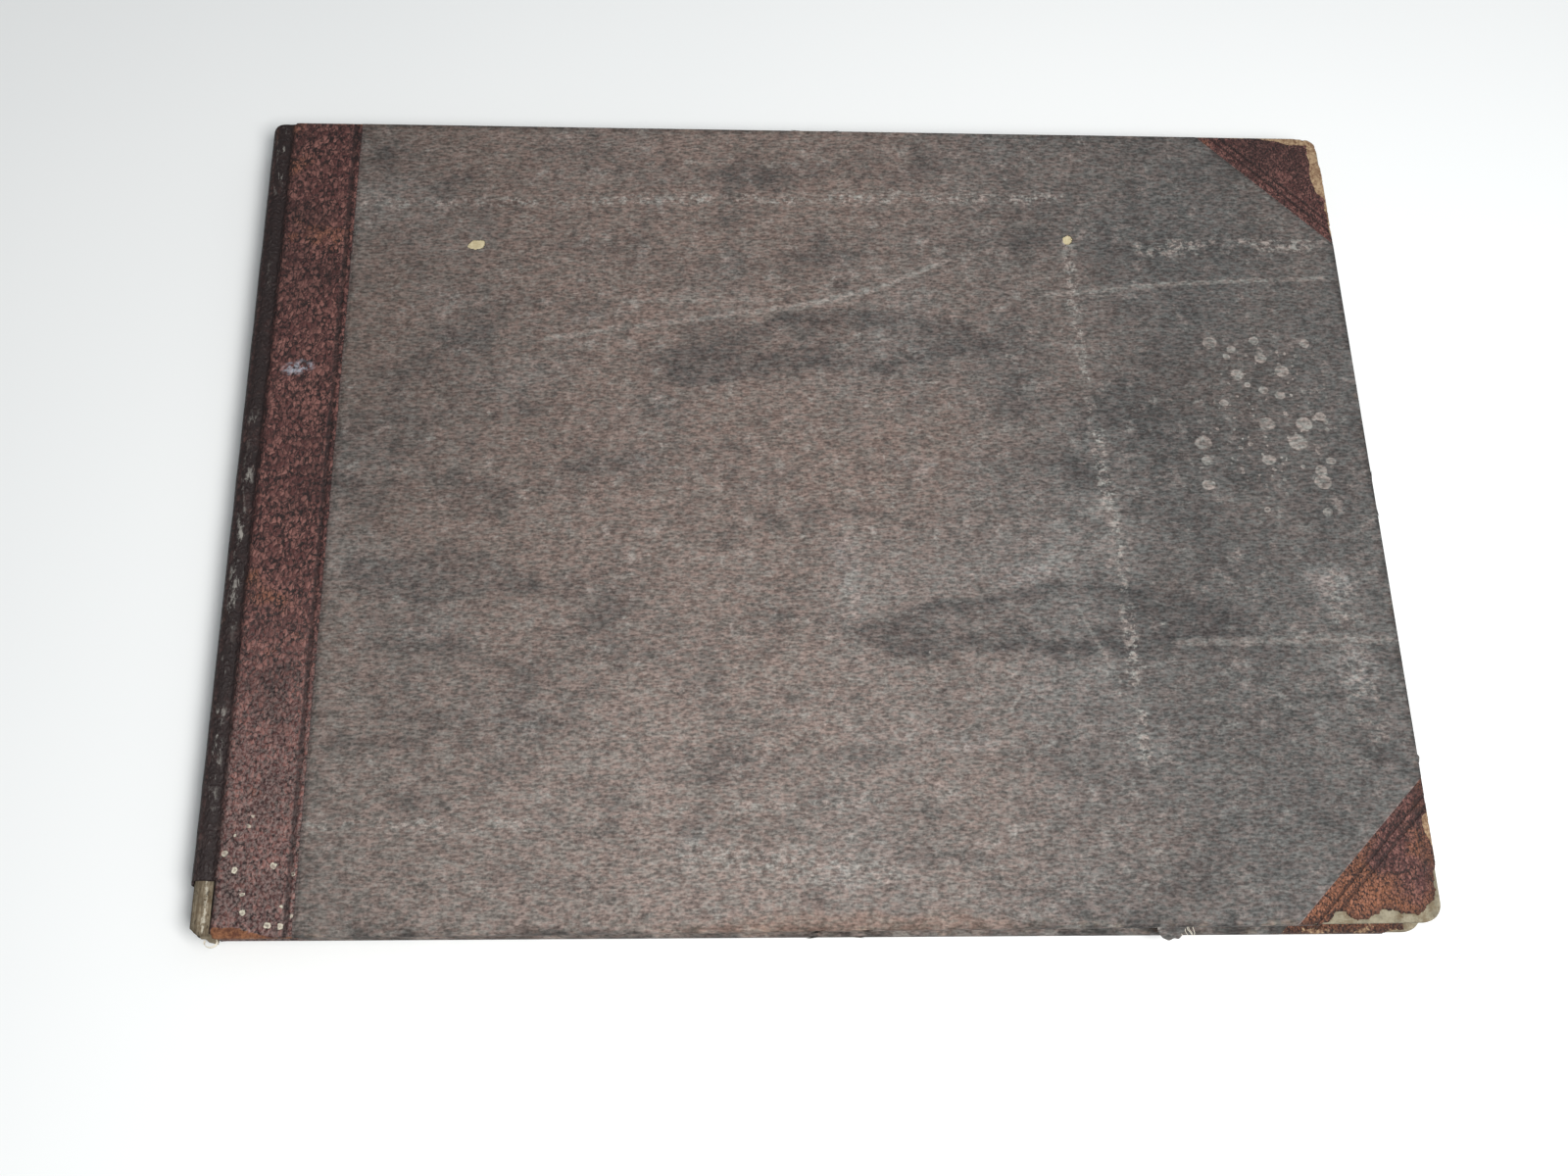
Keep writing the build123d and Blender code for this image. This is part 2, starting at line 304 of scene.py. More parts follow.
def shaded(colour, *factors):
    """An opaque colour made darker or lighter, all over or channel by channel."""
    factors = factors * 3 if len(factors) == 1 else factors
    return (*(min(1.0, c * f) for c, f in zip(colour, factors)), 1.0)


# ---- node tree helpers -----------------------------------------------------------------------
class Graph:
    """Adds nodes to one tree and joins them."""

    def __init__(self, tree):
        self.tree = tree

    def feed(self, socket, value):
        if isinstance(value, bpy.types.NodeSocket):
            self.tree.links.new(value, socket)
        else:
            socket.default_value = value

    def node(self, kind, inputs=None, **settings):
        made = self.tree.nodes.new(kind)
        for key, value in settings.items():
            setattr(made, key, value)
        for name, value in (inputs or {}).items():
            self.feed(made.inputs[name], value)
        return made

    def math(self, operation, a, b=0.0, clamp=False):
        made = self.node("ShaderNodeMath", {0: a, 1: b}, operation=operation, use_clamp=clamp)
        return made.outputs[0]

    def times(self, a, b, clamp=False):
        return self.math("MULTIPLY", a, b, clamp)

    def plus(self, a, b, clamp=False):
        return self.math("ADD", a, b, clamp)

    def minus(self, a, b):
        return self.math("SUBTRACT", a, b)

    def larger(self, a, b):
        return self.math("MAXIMUM", a, b)

    def parts(self, vector):
        """The X, Y and Z of a vector."""
        return self.node("ShaderNodeSeparateXYZ", {0: vector}).outputs

    def vector(self, operation, a, b=(0.0, 0.0, 0.0)):
        made = self.node("ShaderNodeVectorMath", {0: a, 1: b}, operation=operation)
        return made.outputs["Value" if operation in {"LENGTH", "DOT_PRODUCT"} else "Vector"]

    def scaled(self, vector, amount):
        made = self.node("ShaderNodeVectorMath", {0: vector, "Scale": amount}, operation="SCALE")
        return made.outputs["Vector"]

    def mix(self, factor, a, b):
        made = self.node("ShaderNodeMix", data_type="RGBA", clamp_factor=True)
        self.feed(made.inputs[0], factor)
        self.feed(made.inputs[6], a)
        self.feed(made.inputs[7], b)
        return made.outputs[2]

    def laid(self, under, over, mask, strength=1.0):
        """One colour laid over another where a mask lets it through."""
        return self.mix(self.times(mask, strength), under, over)

    def step(self, value, low, high, to_low=0.0, to_high=1.0):
        inputs = {0: value, 1: low, 2: high, 3: to_low, 4: to_high}
        made = self.node("ShaderNodeMapRange", inputs, interpolation_type="SMOOTHSTEP")
        return made.outputs[0]

    def noise(self, vector, scale, detail=3.0, roughness=0.55, output="Fac"):
        inputs = {"Vector": vector, "Scale": scale, "Detail": detail, "Roughness": roughness}
        return self.node("ShaderNodeTexNoise", inputs).outputs[output]

    def voronoi(self, vector, scale, feature="F1"):
        inputs = {"Vector": vector, "Scale": scale}
        return self.node("ShaderNodeTexVoronoi", inputs, feature=feature)

    def stretched(self, vector, scale):
        return self.vector("MULTIPLY", vector, scale)

    def object_coordinates(self):
        return self.node("ShaderNodeTexCoord").outputs["Object"]

    def resting_place(self):
        """The coordinates of a bending piece as they are when the album lies shut."""
        return self.node("ShaderNodeAttribute", attribute_name="resting_place").outputs["Vector"]

    def attribute(self, name):
        return self.node("ShaderNodeAttribute", attribute_name=name).outputs["Fac"]

    def group(self, tree, inputs):
        made = self.node("ShaderNodeGroup")
        made.node_tree = tree
        for name, value in inputs.items():
            self.feed(made.inputs[name], value)
        return made.outputs

    def bump(self, height, distance, strength=1.0, normal=None):
        inputs = {"Height": height, "Distance": distance, "Strength": strength}
        if normal is not None:
            inputs["Normal"] = normal
        return self.node("ShaderNodeBump", inputs).outputs["Normal"]


def shared_group(name, inputs, outputs, fill):
    """A shader node group, made once. fill gets the graph and the inputs and returns the outputs."""
    if name in bpy.data.node_groups:
        return bpy.data.node_groups[name]
    tree = bpy.data.node_groups.new(name, "ShaderNodeTree")
    for label, kind in inputs:
        tree.interface.new_socket(label, in_out="INPUT", socket_type=kind)
    for label, kind in outputs:
        tree.interface.new_socket(label, in_out="OUTPUT", socket_type=kind)
    graph = Graph(tree)
    entry = tree.nodes.new("NodeGroupInput")
    leave = tree.nodes.new("NodeGroupOutput")
    results = fill(graph, entry.outputs)
    for (label, _), socket in zip(outputs, results):
        tree.links.new(socket, leave.inputs[label])
    return tree


VECTOR = "NodeSocketVector"
NUMBER = "NodeSocketFloat"


PLACED_SOCKETS = (("Vector", VECTOR), ("Centre", VECTOR), ("Size", VECTOR), ("Turn", NUMBER))


def local_place(graph, entry):
    """The coordinates inside a turned oval or rectangle, where 1 is its outline."""
    turn = graph.node("ShaderNodeCombineXYZ", {"Z": entry["Turn"]}).outputs[0]
    inputs = {"Vector": entry["Vector"], "Location": entry["Centre"]}
    inputs.update({"Rotation": turn, "Scale": entry["Size"]})
    return graph.node("ShaderNodeMapping", inputs, vector_type="TEXTURE").outputs[0]


def patch_group():
    """An oval patch with a soft outline."""

    def fill(graph, entry):
        local = local_place(graph, entry)
        far = graph.vector("LENGTH", graph.stretched(local, FLAT))
        return (graph.step(far, 1.05, 0.35),)

    return shared_group("Stain patch", PLACED_SOCKETS, (("Inside", NUMBER),), fill)


def scrap_group():
    """The trace of a pasted scrap: a paler rectangle with a thin darker rim of old paste."""

    def fill(graph, entry):
        local = local_place(graph, entry)
        parts = graph.parts(graph.vector("ABSOLUTE", local))
        far = graph.larger(parts[0], parts[1])
        rim = graph.times(graph.step(far, 1.03, 1.0), graph.step(far, 0.95, 1.0))
        return graph.step(far, 1.0, 0.97), rim

    return shared_group("Pasted scrap", PLACED_SOCKETS, (("Inside", NUMBER), ("Rim", NUMBER)), fill)


def stroke_group():
    """A straight stroke between two points."""

    def fill(graph, entry):
        point = graph.stretched(graph.vector("SUBTRACT", entry["Vector"], entry["From"]), FLAT)
        run = graph.vector("SUBTRACT", entry["To"], entry["From"])
        covered = graph.vector("DOT_PRODUCT", point, run)
        along = graph.math("DIVIDE", covered, graph.vector("DOT_PRODUCT", run, run))
        nearest = graph.scaled(run, graph.times(along, 1.0, clamp=True))
        far = graph.vector("LENGTH", graph.vector("SUBTRACT", point, nearest))
        return (graph.step(graph.math("DIVIDE", far, entry["Width"]), 1.0, 0.25),)

    sockets = (("Vector", VECTOR), ("From", VECTOR), ("To", VECTOR), ("Width", NUMBER))
    return shared_group("Rubbed stroke", sockets, (("Mask", NUMBER),), fill)


def pebble_group():
    """Pebbled leather grain, drawn out a little along the spine, with crevices between the pebbles."""

    def fill(graph, entry):
        scale = graph.math("DIVIDE", 1.0, entry["Size"])
        drawn = graph.stretched(entry["Vector"], (1.15, 0.8, 1.0))
        shift = graph.noise(drawn, graph.times(scale, 0.6), 3.0, output="Color")
        shift = graph.vector("SUBTRACT", shift, HALVES)
        wavy = graph.vector("ADD", drawn, graph.scaled(shift, graph.times(entry["Size"], 1.5)))
        edge = graph.voronoi(wavy, scale, "DISTANCE_TO_EDGE").outputs["Distance"]
        cells = graph.voronoi(wavy, scale).outputs["Color"]
        tone = graph.node("ShaderNodeSeparateColor", {"Color": cells}).outputs[0]
        grit = graph.noise(drawn, graph.times(scale, 1.2), 3.0, 0.6)
        crevice = graph.step(graph.plus(edge, graph.times(grit, 0.50)), 0.44, 0.24)
        pits = graph.step(grit, 0.50, 0.36)
        height = graph.minus(graph.step(edge, 0.0, 0.42), graph.times(pits, 0.4))
        return height, crevice, pits, tone

    sockets = (("Vector", VECTOR), ("Size", NUMBER))
    outputs = (("Height", NUMBER), ("Crevice", NUMBER), ("Pits", NUMBER), ("Tone", NUMBER))
    return shared_group("Pebbled grain", sockets, outputs, fill)


def spots_group():
    """Scattered round spots of uneven size, with a ring round each."""

    def fill(graph, entry):
        scale = graph.math("DIVIDE", 1.0, entry["Spacing"])
        flat = graph.stretched(entry["Vector"], FLAT)
        cells = graph.voronoi(flat, scale)
        parts = graph.node("ShaderNodeSeparateColor", {"Color": cells.outputs["Color"]})
        grown = graph.step(parts.outputs[0], graph.minus(1.0, entry["Share"]), 1.0)
        radius = graph.times(graph.times(grown, entry["Radius"]), scale)
        near = graph.math("DIVIDE", cells.outputs["Distance"], graph.larger(radius, 0.0001))
        disc = graph.times(graph.step(near, 1.0, 0.75), graph.step(grown, 0.0, 0.05))
        ring = graph.times(disc, graph.step(near, 0.25, 0.75))
        return disc, ring

    sockets = (("Vector", VECTOR), ("Spacing", NUMBER), ("Radius", NUMBER), ("Share", NUMBER))
    return shared_group("Scattered spots", sockets, (("Disc", NUMBER), ("Ring", NUMBER)), fill)


def fibre_group():
    """Short paper fibres: a tone and a height."""

    def fill(graph, entry):
        scale = graph.math("DIVIDE", 1.0, entry["Size"])
        long_way = graph.noise(graph.stretched(entry["Vector"], (0.3, 1.0, 1.0)), scale, 4.0, 0.7)
        cross_way = graph.noise(graph.stretched(entry["Vector"], (1.0, 0.3, 1.0)), scale, 4.0, 0.7)
        height = graph.times(graph.plus(long_way, cross_way), 0.5)
        return graph.step(height, 0.38, 0.62), height

    sockets = (("Vector", VECTOR), ("Size", NUMBER))
    return shared_group("Paper fibre", sockets, (("Tone", NUMBER), ("Height", NUMBER)), fill)


def weave_group():
    """A plain weave: the height of its threads."""

    def fill(graph, entry):
        scale = graph.math("DIVIDE", 2.0 * math.pi, entry["Pitch"])
        parts = graph.parts(entry["Vector"])
        warp = graph.math("SINE", graph.times(parts[0], scale))
        weft = graph.math("SINE", graph.times(parts[1], scale))
        return (graph.plus(graph.times(graph.times(warp, weft), 0.5), 0.5),)

    sockets = (("Vector", VECTOR), ("Pitch", NUMBER))
    return shared_group("Plain weave", sockets, (("Height", NUMBER),), fill)


def blank_material(name):
    """A new material with its graph and its Principled BSDF."""
    material = bpy.data.materials.new(name)
    material.use_nodes = True
    graph = Graph(material.node_tree)
    return material, graph, material.node_tree.nodes["Principled BSDF"]


def finish_material(graph, shader, colour, roughness, normal, specular=0.3):
    """Joins the finished colour, roughness and normal to the shader."""
    graph.feed(shader.inputs["Base Color"], colour)
    graph.feed(shader.inputs["Roughness"], roughness)
    graph.feed(shader.inputs["Normal"], normal)
    shader.inputs["Specular IOR Level"].default_value = specular


def placed(mark):
    """Centre, size and turn of a patch given in millimetres."""
    x, y, long_half, short_half, turn = mark[:5]
    return {
        "Centre": (x * MM, y * MM, 0.0),
        "Size": (long_half * MM, short_half * MM, 1.0),
        "Turn": math.radians(turn),
    }


def patch(graph, vector, mark):
    """The soft inside of one oval mark."""
    return graph.group(patch_group(), {"Vector": vector, **placed(mark)})["Inside"]


def scattered(graph, vector, spacing, radius, share):
    """Round spots over all the coordinates, sized in millimetres: gives their Disc and their Ring."""
    inputs = {"Vector": vector, "Spacing": spacing * MM, "Radius": radius * MM, "Share": share}
    return graph.group(spots_group(), inputs)


def strokes(graph, vector, marks):
    """The strongest of several strokes."""
    total = None
    for x0, y0, x1, y1, width, strength in marks:
        inputs = {"From": (x0 * MM, y0 * MM, 0.0), "To": (x1 * MM, y1 * MM, 0.0), "Width": width * MM}
        mask = graph.group(stroke_group(), {"Vector": vector, **inputs})["Mask"]
        mask = graph.times(mask, strength)
        total = mask if total is None else graph.larger(total, mask)
    return total


def ragged(graph, vector, scale, amount):
    """The same coordinates, pushed about by noise."""
    shift = graph.noise(vector, scale, 4.0, 0.6, output="Color")
    return graph.vector("ADD", vector, graph.scaled(graph.vector("SUBTRACT", shift, HALVES), amount))


# ---- materials -------------------------------------------------------------------------------
def mildew(graph, at, soft):
    """Round mildew spots: the large ones each in its place, the small ones scattered round them."""
    field = patch(graph, soft, MILDEW_FIELD)
    wobble = ragged(graph, at, 420.0, 1.3 * MM)
    total = None
    for spacing, radius, share, strength in SCATTERED_MILDEW:
        spots = scattered(graph, wobble, spacing, radius, share)
        mask = graph.plus(graph.times(spots["Disc"], 0.75), graph.times(spots["Ring"], 0.2))
        mask = graph.times(graph.times(mask, strength), field)
        total = mask if total is None else graph.larger(total, mask)
    closest = None
    for x, y, radius in MILDEW_RINGS:
        away = graph.vector("SUBTRACT", wobble, (x * MM, y * MM, TOP))
        away = graph.stretched(away, (1.0 / (radius * MM), 1.15 / (radius * MM), 0.0))
        near = graph.vector("LENGTH", away)
        closest = near if closest is None else graph.math("MINIMUM", closest, near)
    disc = graph.step(closest, 1.08, 0.86)
    uneven = graph.step(graph.noise(at, 240.0, 2.0), 0.30, 0.60, 0.55, 1.0)
    rim = graph.times(graph.times(disc, uneven), graph.step(closest, 0.3, 0.9, 0.74, 0.95))
    return graph.larger(total, rim)


def book_cloth(side):
    """Fine ribbed book cloth, faded, stained and rubbed; painted light at the tail, painted shade at the
    spine, a painted highlight on its cut edges.
    """
    front = side == "front"
    material, graph, shader = blank_material(f"book_cloth_{side}")
    faded, grey, threads, dark = (colour_of(f"cloth_{key}") for key in ("brown", "grey", "pale", "dark"))
    at = graph.object_coordinates()
    rough = ragged(graph, at, 70.0, 9 * MM)
    soft = ragged(graph, at, 30.0, 20 * MM)

    dashes = graph.noise(graph.stretched(at, (0.40, 1.0, 1.0)), 1.5 / sizes().rib_pitch, 2.0, 0.5)
    rib = graph.step(dashes, 0.32, 0.68)
    speck = graph.step(graph.noise(at, 1150.0, 1.0, 0.5), 0.28, 0.72)
    tint = graph.step(graph.noise(graph.stretched(at, (0.5, 1.0, 1.0)), 800.0, 1.0), 0.34, 0.66)
    mottle = graph.noise(at, 190.0, 4.0, 0.75)
    streak = graph.noise(graph.stretched(rough, (0.2, 1.0, 1.0)), 60.0, 4.0, 0.6)
    blotch = graph.noise(at, 16.0, 5.0, 0.6)

    place = graph.parts(soft)
    greying = graph.step(place[0], -0.02, 0.15)
    low = graph.step(place[1], 0.04, -0.13)
    uneven = graph.times(graph.minus(blotch, 0.5), 2.2)
    colour = graph.mix(graph.plus(greying, uneven, clamp=True), faded, grey)
    # Painted light: towards the tail the cloth is laid over with its pale colour, standing for the brighter
    # light there; less so on its greyer fore-edge side.
    light = graph.times(low, graph.minus(1.0, graph.times(greying, 0.8)))
    colour = graph.laid(colour, threads, light, 0.26)
    colour = graph.mix(graph.step(blotch, 0.54, 0.80, 0.0, 0.5), colour, threads)
    colour = graph.mix(graph.step(graph.noise(at, 42.0, 4.0, 0.7), 0.52, 0.26, 0.0, 0.6), colour, dark)
    colour = graph.mix(graph.step(streak, 0.48, 0.28, 0.0, 0.45), colour, dark)
    colour = graph.mix(graph.step(mottle, 0.52, 0.74, 0.0, 0.55), colour, threads)
    colour = graph.mix(graph.step(mottle, 0.46, 0.26, 0.0, 0.6), colour, dark)

    grit = graph.noise(at, 330.0, 3.0, 0.7)
    smears = graph.times(graph.attribute("smear"), graph.step(grit, 0.38, 0.62))
    wet = graph.larger(graph.attribute("stain"), graph.attribute("tide"))
    wet = graph.times(wet, graph.step(mottle, 0.30, 0.60, 1.0, 0.6))
    colour = graph.mix(graph.times(wet, 0.95, clamp=True), colour, dark)
    colour = graph.laid(colour, SMEARED_THREADS, smears, 0.7)

    flecks = graph.times(scattered(graph, rough, 12, 0.8, 0.25)["Disc"], 0.55)
    rubs = graph.step(graph.noise(graph.stretched(at, (0.5, 1.0, 1.0)), 260.0, 4.0, 0.75), 0.62, 0.76)
    pale = graph.larger(flecks, graph.times(rubs, 0.7))
    if front:
        pale = graph.larger(pale, mildew(graph, at, soft))
        gaps = graph.step(graph.noise(at, 420.0, 3.0, 0.7), 0.47, 0.58)
        gaps = graph.times(gaps, graph.step(graph.noise(at, 90.0, 2.0), 0.34, 0.50))
        scuffs = graph.times(strokes(graph, ragged(graph, at, 150.0, 5 * MM), DOTTED_SCUFFS), gaps)
        thin = ragged(graph, at, 240.0, 1.2 * MM)
        creases = graph.times(strokes(graph, thin, CREASES), graph.step(grit, 0.26, 0.58, 0.25, 1.0))
        pale = graph.larger(pale, graph.larger(scuffs, creases))
    colour = graph.laid(colour, colour_of("mildew"), pale, 0.85)

    edge = graph.attribute("edge_wear")
    worn = graph.times(edge, graph.step(graph.noise(at, 150.0, 4.0, 0.7), 0.50, 0.70))
    colour = graph.laid(colour, RUBBED_EDGE, worn, 0.5)
    soil = graph.times(edge, graph.step(graph.noise(at, 90.0, 3.0), 0.62, 0.42))
    colour = graph.laid(colour, EDGE_SOIL, soil, 0.75)
    if front:
        # Painted highlight: a thin pinkish light line along the cloth's cut edges over the leather, where
        # they catch the light.
        hem_highlight_mask = graph.times(strokes(graph, at, hem_highlight_lines()), graph.step(grit, 0.30, 0.50))
        colour = graph.laid(colour, HEM_HIGHLIGHT, hem_highlight_mask, 0.55)
        brown = patch(graph, soft, TAIL_EDGE_BROWN)
        colour = graph.laid(colour, EDGE_BROWN, brown, 0.32)

    warm = graph.mix(tint, COOL_THREAD, WARM_THREAD)
    colour = graph.vector("MULTIPLY", colour, warm)
    shade = graph.plus(0.45, graph.times(rib, 0.54))
    shade = graph.plus(shade, graph.times(speck, 0.34))
    # Painted shade: the cloth is darkened towards the spine, where the light falls off.
    spine_side_shade = graph.step(place[0], -0.17, -0.04, 0.80, 1.0)
    far = graph.step(place[0], 0.04, 0.13, 1.0, 0.86)
    shade = graph.times(shade, graph.times(spine_side_shade, far))
    colour = graph.scaled(colour, shade)

    height = graph.plus(graph.times(rib, 0.7), graph.times(speck, 0.4))
    normal = graph.bump(height, 0.18 * MM, 0.9)
    roughness = graph.step(rib, 0.0, 1.0, 0.95, 0.78)
    finish_material(graph, shader, colour, roughness, normal, 0.22)
    return material


def leather(name, orange=0.35, joint=False, mould=False, tooled=()):
    """Pebbled maroon leather. Attribute rubbed bares its tan inside, attribute soil_and_shade darkens it with
    soil, and on the spine with painted shade.
    """
    material, graph, shader = blank_material(name)
    dark, middle, light = (colour_of(f"leather_{key}") for key in ("dark", "mid", "light"))
    at = graph.resting_place() if joint else graph.object_coordinates()
    grain = graph.group(pebble_group(), {"Vector": at, "Size": sizes().pebble * (1.0 if joint else 0.62)})
    blotch = graph.noise(at, 75.0, 4.0, 0.6)
    wide = graph.noise(at, 24.0, 3.0, 0.5)
    fine = graph.noise(at, 900.0, 3.0, 0.7)

    tops = graph.times(graph.plus(grain["Tone"], blotch), 0.5)
    colour = graph.mix(graph.step(tops, 0.30, 0.72), middle, light)
    patchy = graph.plus(wide, graph.times(blotch, 0.5))
    rust = graph.step(patchy, 0.98 - 0.3 * orange, 1.12 - 0.3 * orange)
    colour = graph.laid(colour, colour_of("leather_rubbed"), rust, 0.55)
    dirt = graph.times(grain["Crevice"], graph.step(graph.noise(at, 150.0, 3.0), 0.30, 0.60, 0.55, 1.0))
    colour = graph.laid(colour, dark, dirt, 0.95)
    colour = graph.laid(colour, dark, grain["Pits"], 0.75)
    murk = graph.step(graph.noise(at, 40.0, 4.0, 0.6), 0.50, 0.28)
    colour = graph.laid(colour, dark, murk, 0.55)

    height = grain["Height"]
    if joint:
        parts = graph.parts(at)
        dusty = graph.times(graph.step(parts[1], -0.02, -0.11), graph.step(fine, 0.40, 0.62))
        colour = graph.laid(colour, LEATHER_DUST, dusty, 0.40)
    if tooled:
        lines = strokes(graph, ragged(graph, at, 200.0, 0.5 * MM), tooled)
        colour = graph.laid(colour, dark, lines, 0.72)
        height = graph.minus(height, graph.times(lines, 1.6))
    # Soil and painted shade: the attribute darkens the leather towards its crevice colour; on the spine and
    # in its groove this is painted shade.
    soil_and_shade = graph.times(graph.attribute("soil_and_shade"), graph.step(blotch, 0.2, 0.5, 0.75, 1.0))
    colour = graph.mix(soil_and_shade, colour, dark)
    if joint:
        ridge = strokes(graph, ragged(graph, at, 70.0, 3.5 * MM), SPINE_RIDGE_RUBS)
        grazed = graph.noise(graph.stretched(at, (1.0, 0.35, 1.0)), 480.0, 4.0, 0.75)
        ridge = graph.times(ridge, graph.step(grazed, 0.52, 0.66))
        ridge = graph.times(ridge, graph.step(graph.noise(at, 32.0, 2.0), 0.42, 0.58))
        colour = graph.laid(colour, GRAZED_RIDGE, ridge, 0.7)
    if mould:
        field = patch(graph, at, LEATHER_MOULD_FIELD)
        field = graph.step(field, 0.0, 0.35)
        spots = scattered(graph, ragged(graph, at, 700.0, 1.6 * MM), 3.6, 1.15, 0.85)
        bright = graph.plus(graph.times(spots["Ring"], 0.5), graph.times(spots["Disc"], 0.42))
        bright = graph.times(bright, graph.step(graph.noise(at, 500.0, 2.0), 0.28, 0.55, 0.35, 1.0))
        torn = ragged(graph, at, 260.0, 5 * MM)
        scuff = patch(graph, torn, LEATHER_SCUFF)
        scuff = graph.times(scuff, graph.step(graph.noise(at, 420.0, 3.0, 0.7), 0.42, 0.62))
        bright = graph.times(bright, field, clamp=True)
        colour = graph.mix(bright, colour, LEATHER_MOULD)
        colour = graph.laid(colour, BLUISH_SCUFF, scuff, 0.75)

    scrape = graph.plus(graph.attribute("rubbed"), graph.times(graph.minus(fine, 0.5), 0.7))
    scrape = graph.plus(scrape, graph.times(graph.minus(graph.noise(at, 260.0, 3.0), 0.5), 0.9))
    bare = graph.step(scrape, 0.44, 0.66)
    deep = RUST_DEEP if joint else TAN_DEEP
    pale = RUST_PALE if joint else colour_of("leather_tan")
    fibres = graph.plus(graph.times(fine, 0.6), graph.times(blotch, 0.4))
    tan = graph.mix(graph.step(fibres, 0.38, 0.60), deep, pale)
    colour = graph.laid(colour, tan, bare, 0.92)
    scratches = graph.step(graph.noise(graph.stretched(at, (1.0, 0.25, 1.0)), 420.0, 3.0, 0.75), 0.66, 0.80)
    colour = graph.laid(colour, SCRATCH, scratches, 0.45)

    flat = graph.times(height, graph.minus(1.0, graph.times(bare, 0.7)))
    flat = graph.plus(flat, graph.times(fine, 0.3))
    normal = graph.bump(flat, 0.24 * MM, 0.85)
    roughness = graph.plus(graph.step(grain["Height"], 0.2, 1.0, 0.70, 0.50), graph.times(bare, 0.25))
    finish_material(graph, shader, colour, roughness, normal, 0.35)
    return material


def card(name, colour_key, size=0.5 * MM, soil=0.5, stripes=False, covered=False):
    """Board or card: fibrous and soiled. Stripes are torn plies; covered card is clean away from its ends."""
    material, graph, shader = blank_material(name)
    base = colour_of(colour_key)
    at = graph.object_coordinates()
    fibre = graph.group(fibre_group(), {"Vector": at, "Size": size})
    dark = shaded(base, 0.5)
    pale = tuple(min(1.0, 1.25 * c + 0.02) for c in base[:3]) + (1.0,)
    colour = graph.laid(base, pale, fibre["Tone"], 0.6)
    stain = graph.step(graph.noise(at, 120.0, 5.0, 0.7), 0.56, 0.38)
    colour = graph.laid(colour, dark, stain, soil)
    grime = graph.step(graph.noise(at, 420.0, 4.0, 0.75), 0.56, 0.70)
    colour = graph.laid(colour, CARD_GRIME, grime, 0.75)
    patchy = graph.step(graph.noise(at, 260.0, 5.0, 0.75), 0.48, 0.62)
    colour = graph.laid(colour, CARD_STAIN, patchy, 0.6)
    flakes = graph.step(graph.noise(at, 650.0, 3.0, 0.7), 0.60, 0.70)
    colour = graph.laid(colour, CARD_FLAKE, flakes, 0.5)
    if covered:
        parts = graph.parts(at)
        inner = graph.step(graph.math("ABSOLUTE", parts[1]), HALF_WIDTH - 0.014, HALF_WIDTH - 0.030)
        clean = graph.mix(fibre["Tone"], *CLEAN_CARD)
        colour = graph.mix(inner, colour, clean)
    if stripes:
        lines = graph.noise(graph.stretched(at, (1.0, 0.07, 1.0)), 1100.0, 3.0, 0.7)
        colour = graph.mix(graph.step(lines, 0.58, 0.38, 0.0, 0.8), colour, PLY_SHADOW)
        torn = ragged(graph, at, 300.0, 2.4 * MM)
        crumbs = graph.step(graph.noise(at, 520.0, 3.0, 0.7), 0.40, 0.50)
        stripe = graph.times(strokes(graph, torn, TORN_PAPER_STRIPE), crumbs)
        colour = graph.mix(stripe, colour, TORN_PAPER)
        cracks = graph.step(graph.noise(graph.stretched(at, (1.0, 0.4, 1.0)), 800.0, 4.0, 0.75), 0.44, 0.34)
        colour = graph.laid(colour, CARD_CRACK, cracks, 0.8)
    normal = graph.bump(fibre["Height"], 0.14 * MM, 0.8)
    finish_material(graph, shader, colour, graph.step(fibre["Tone"], 0.0, 1.0, 1.0, 0.92), normal, 0.08)
    return material


def paper(name, colour_key, ghosts=False):
    """Aged paper: toned edges, foxing, and faint traces where scraps were pasted."""
    material, graph, shader = blank_material(name)
    base = colour_of(colour_key)
    at = graph.object_coordinates()
    fibre = graph.group(fibre_group(), {"Vector": at, "Size": 0.7 * MM})
    brown = shaded(base, 0.72, 0.6, 0.44)
    colour = graph.laid(base, shaded(base, 1.2), fibre["Tone"], 0.2)
    cloud = graph.noise(at, 9.0, 5.0, 0.6)
    colour = graph.mix(graph.step(cloud, 0.48, 0.72, 0.0, 0.45), colour, brown)
    parts = graph.parts(ragged(graph, at, 30.0, 10 * MM))
    ends = graph.step(graph.math("ABSOLUTE", parts[1]), HALF_WIDTH - 0.03, HALF_WIDTH)
    fore = graph.step(parts[0], FORE_EDGE - 0.03, FORE_EDGE)
    gutter = graph.step(parts[0], HINGE_X + 0.03, HINGE_X)
    toned = graph.larger(graph.larger(ends, fore), gutter)
    colour = graph.laid(colour, brown, toned, 0.7)
    fox = scattered(graph, ragged(graph, at, 200.0, 3 * MM), 17, 1.6, 0.4)
    colour = graph.laid(colour, FOXING, fox["Disc"], 0.55)
    if ghosts:
        wavy = ragged(graph, at, 40.0, 2 * MM)
        for scrap in PASTED_SCRAPS:
            mask = graph.group(scrap_group(), {"Vector": wavy, **placed(scrap)})
            colour = graph.laid(colour, brown, mask["Rim"], 0.35)
            colour = graph.laid(colour, PROTECTED_PAPER, mask["Inside"], 0.16)
    normal = graph.bump(fibre["Height"], 0.08 * MM, 0.7)
    finish_material(graph, shader, colour, graph.step(cloud, 0.3, 0.7, 0.9, 0.8), normal, 0.25)
    return material


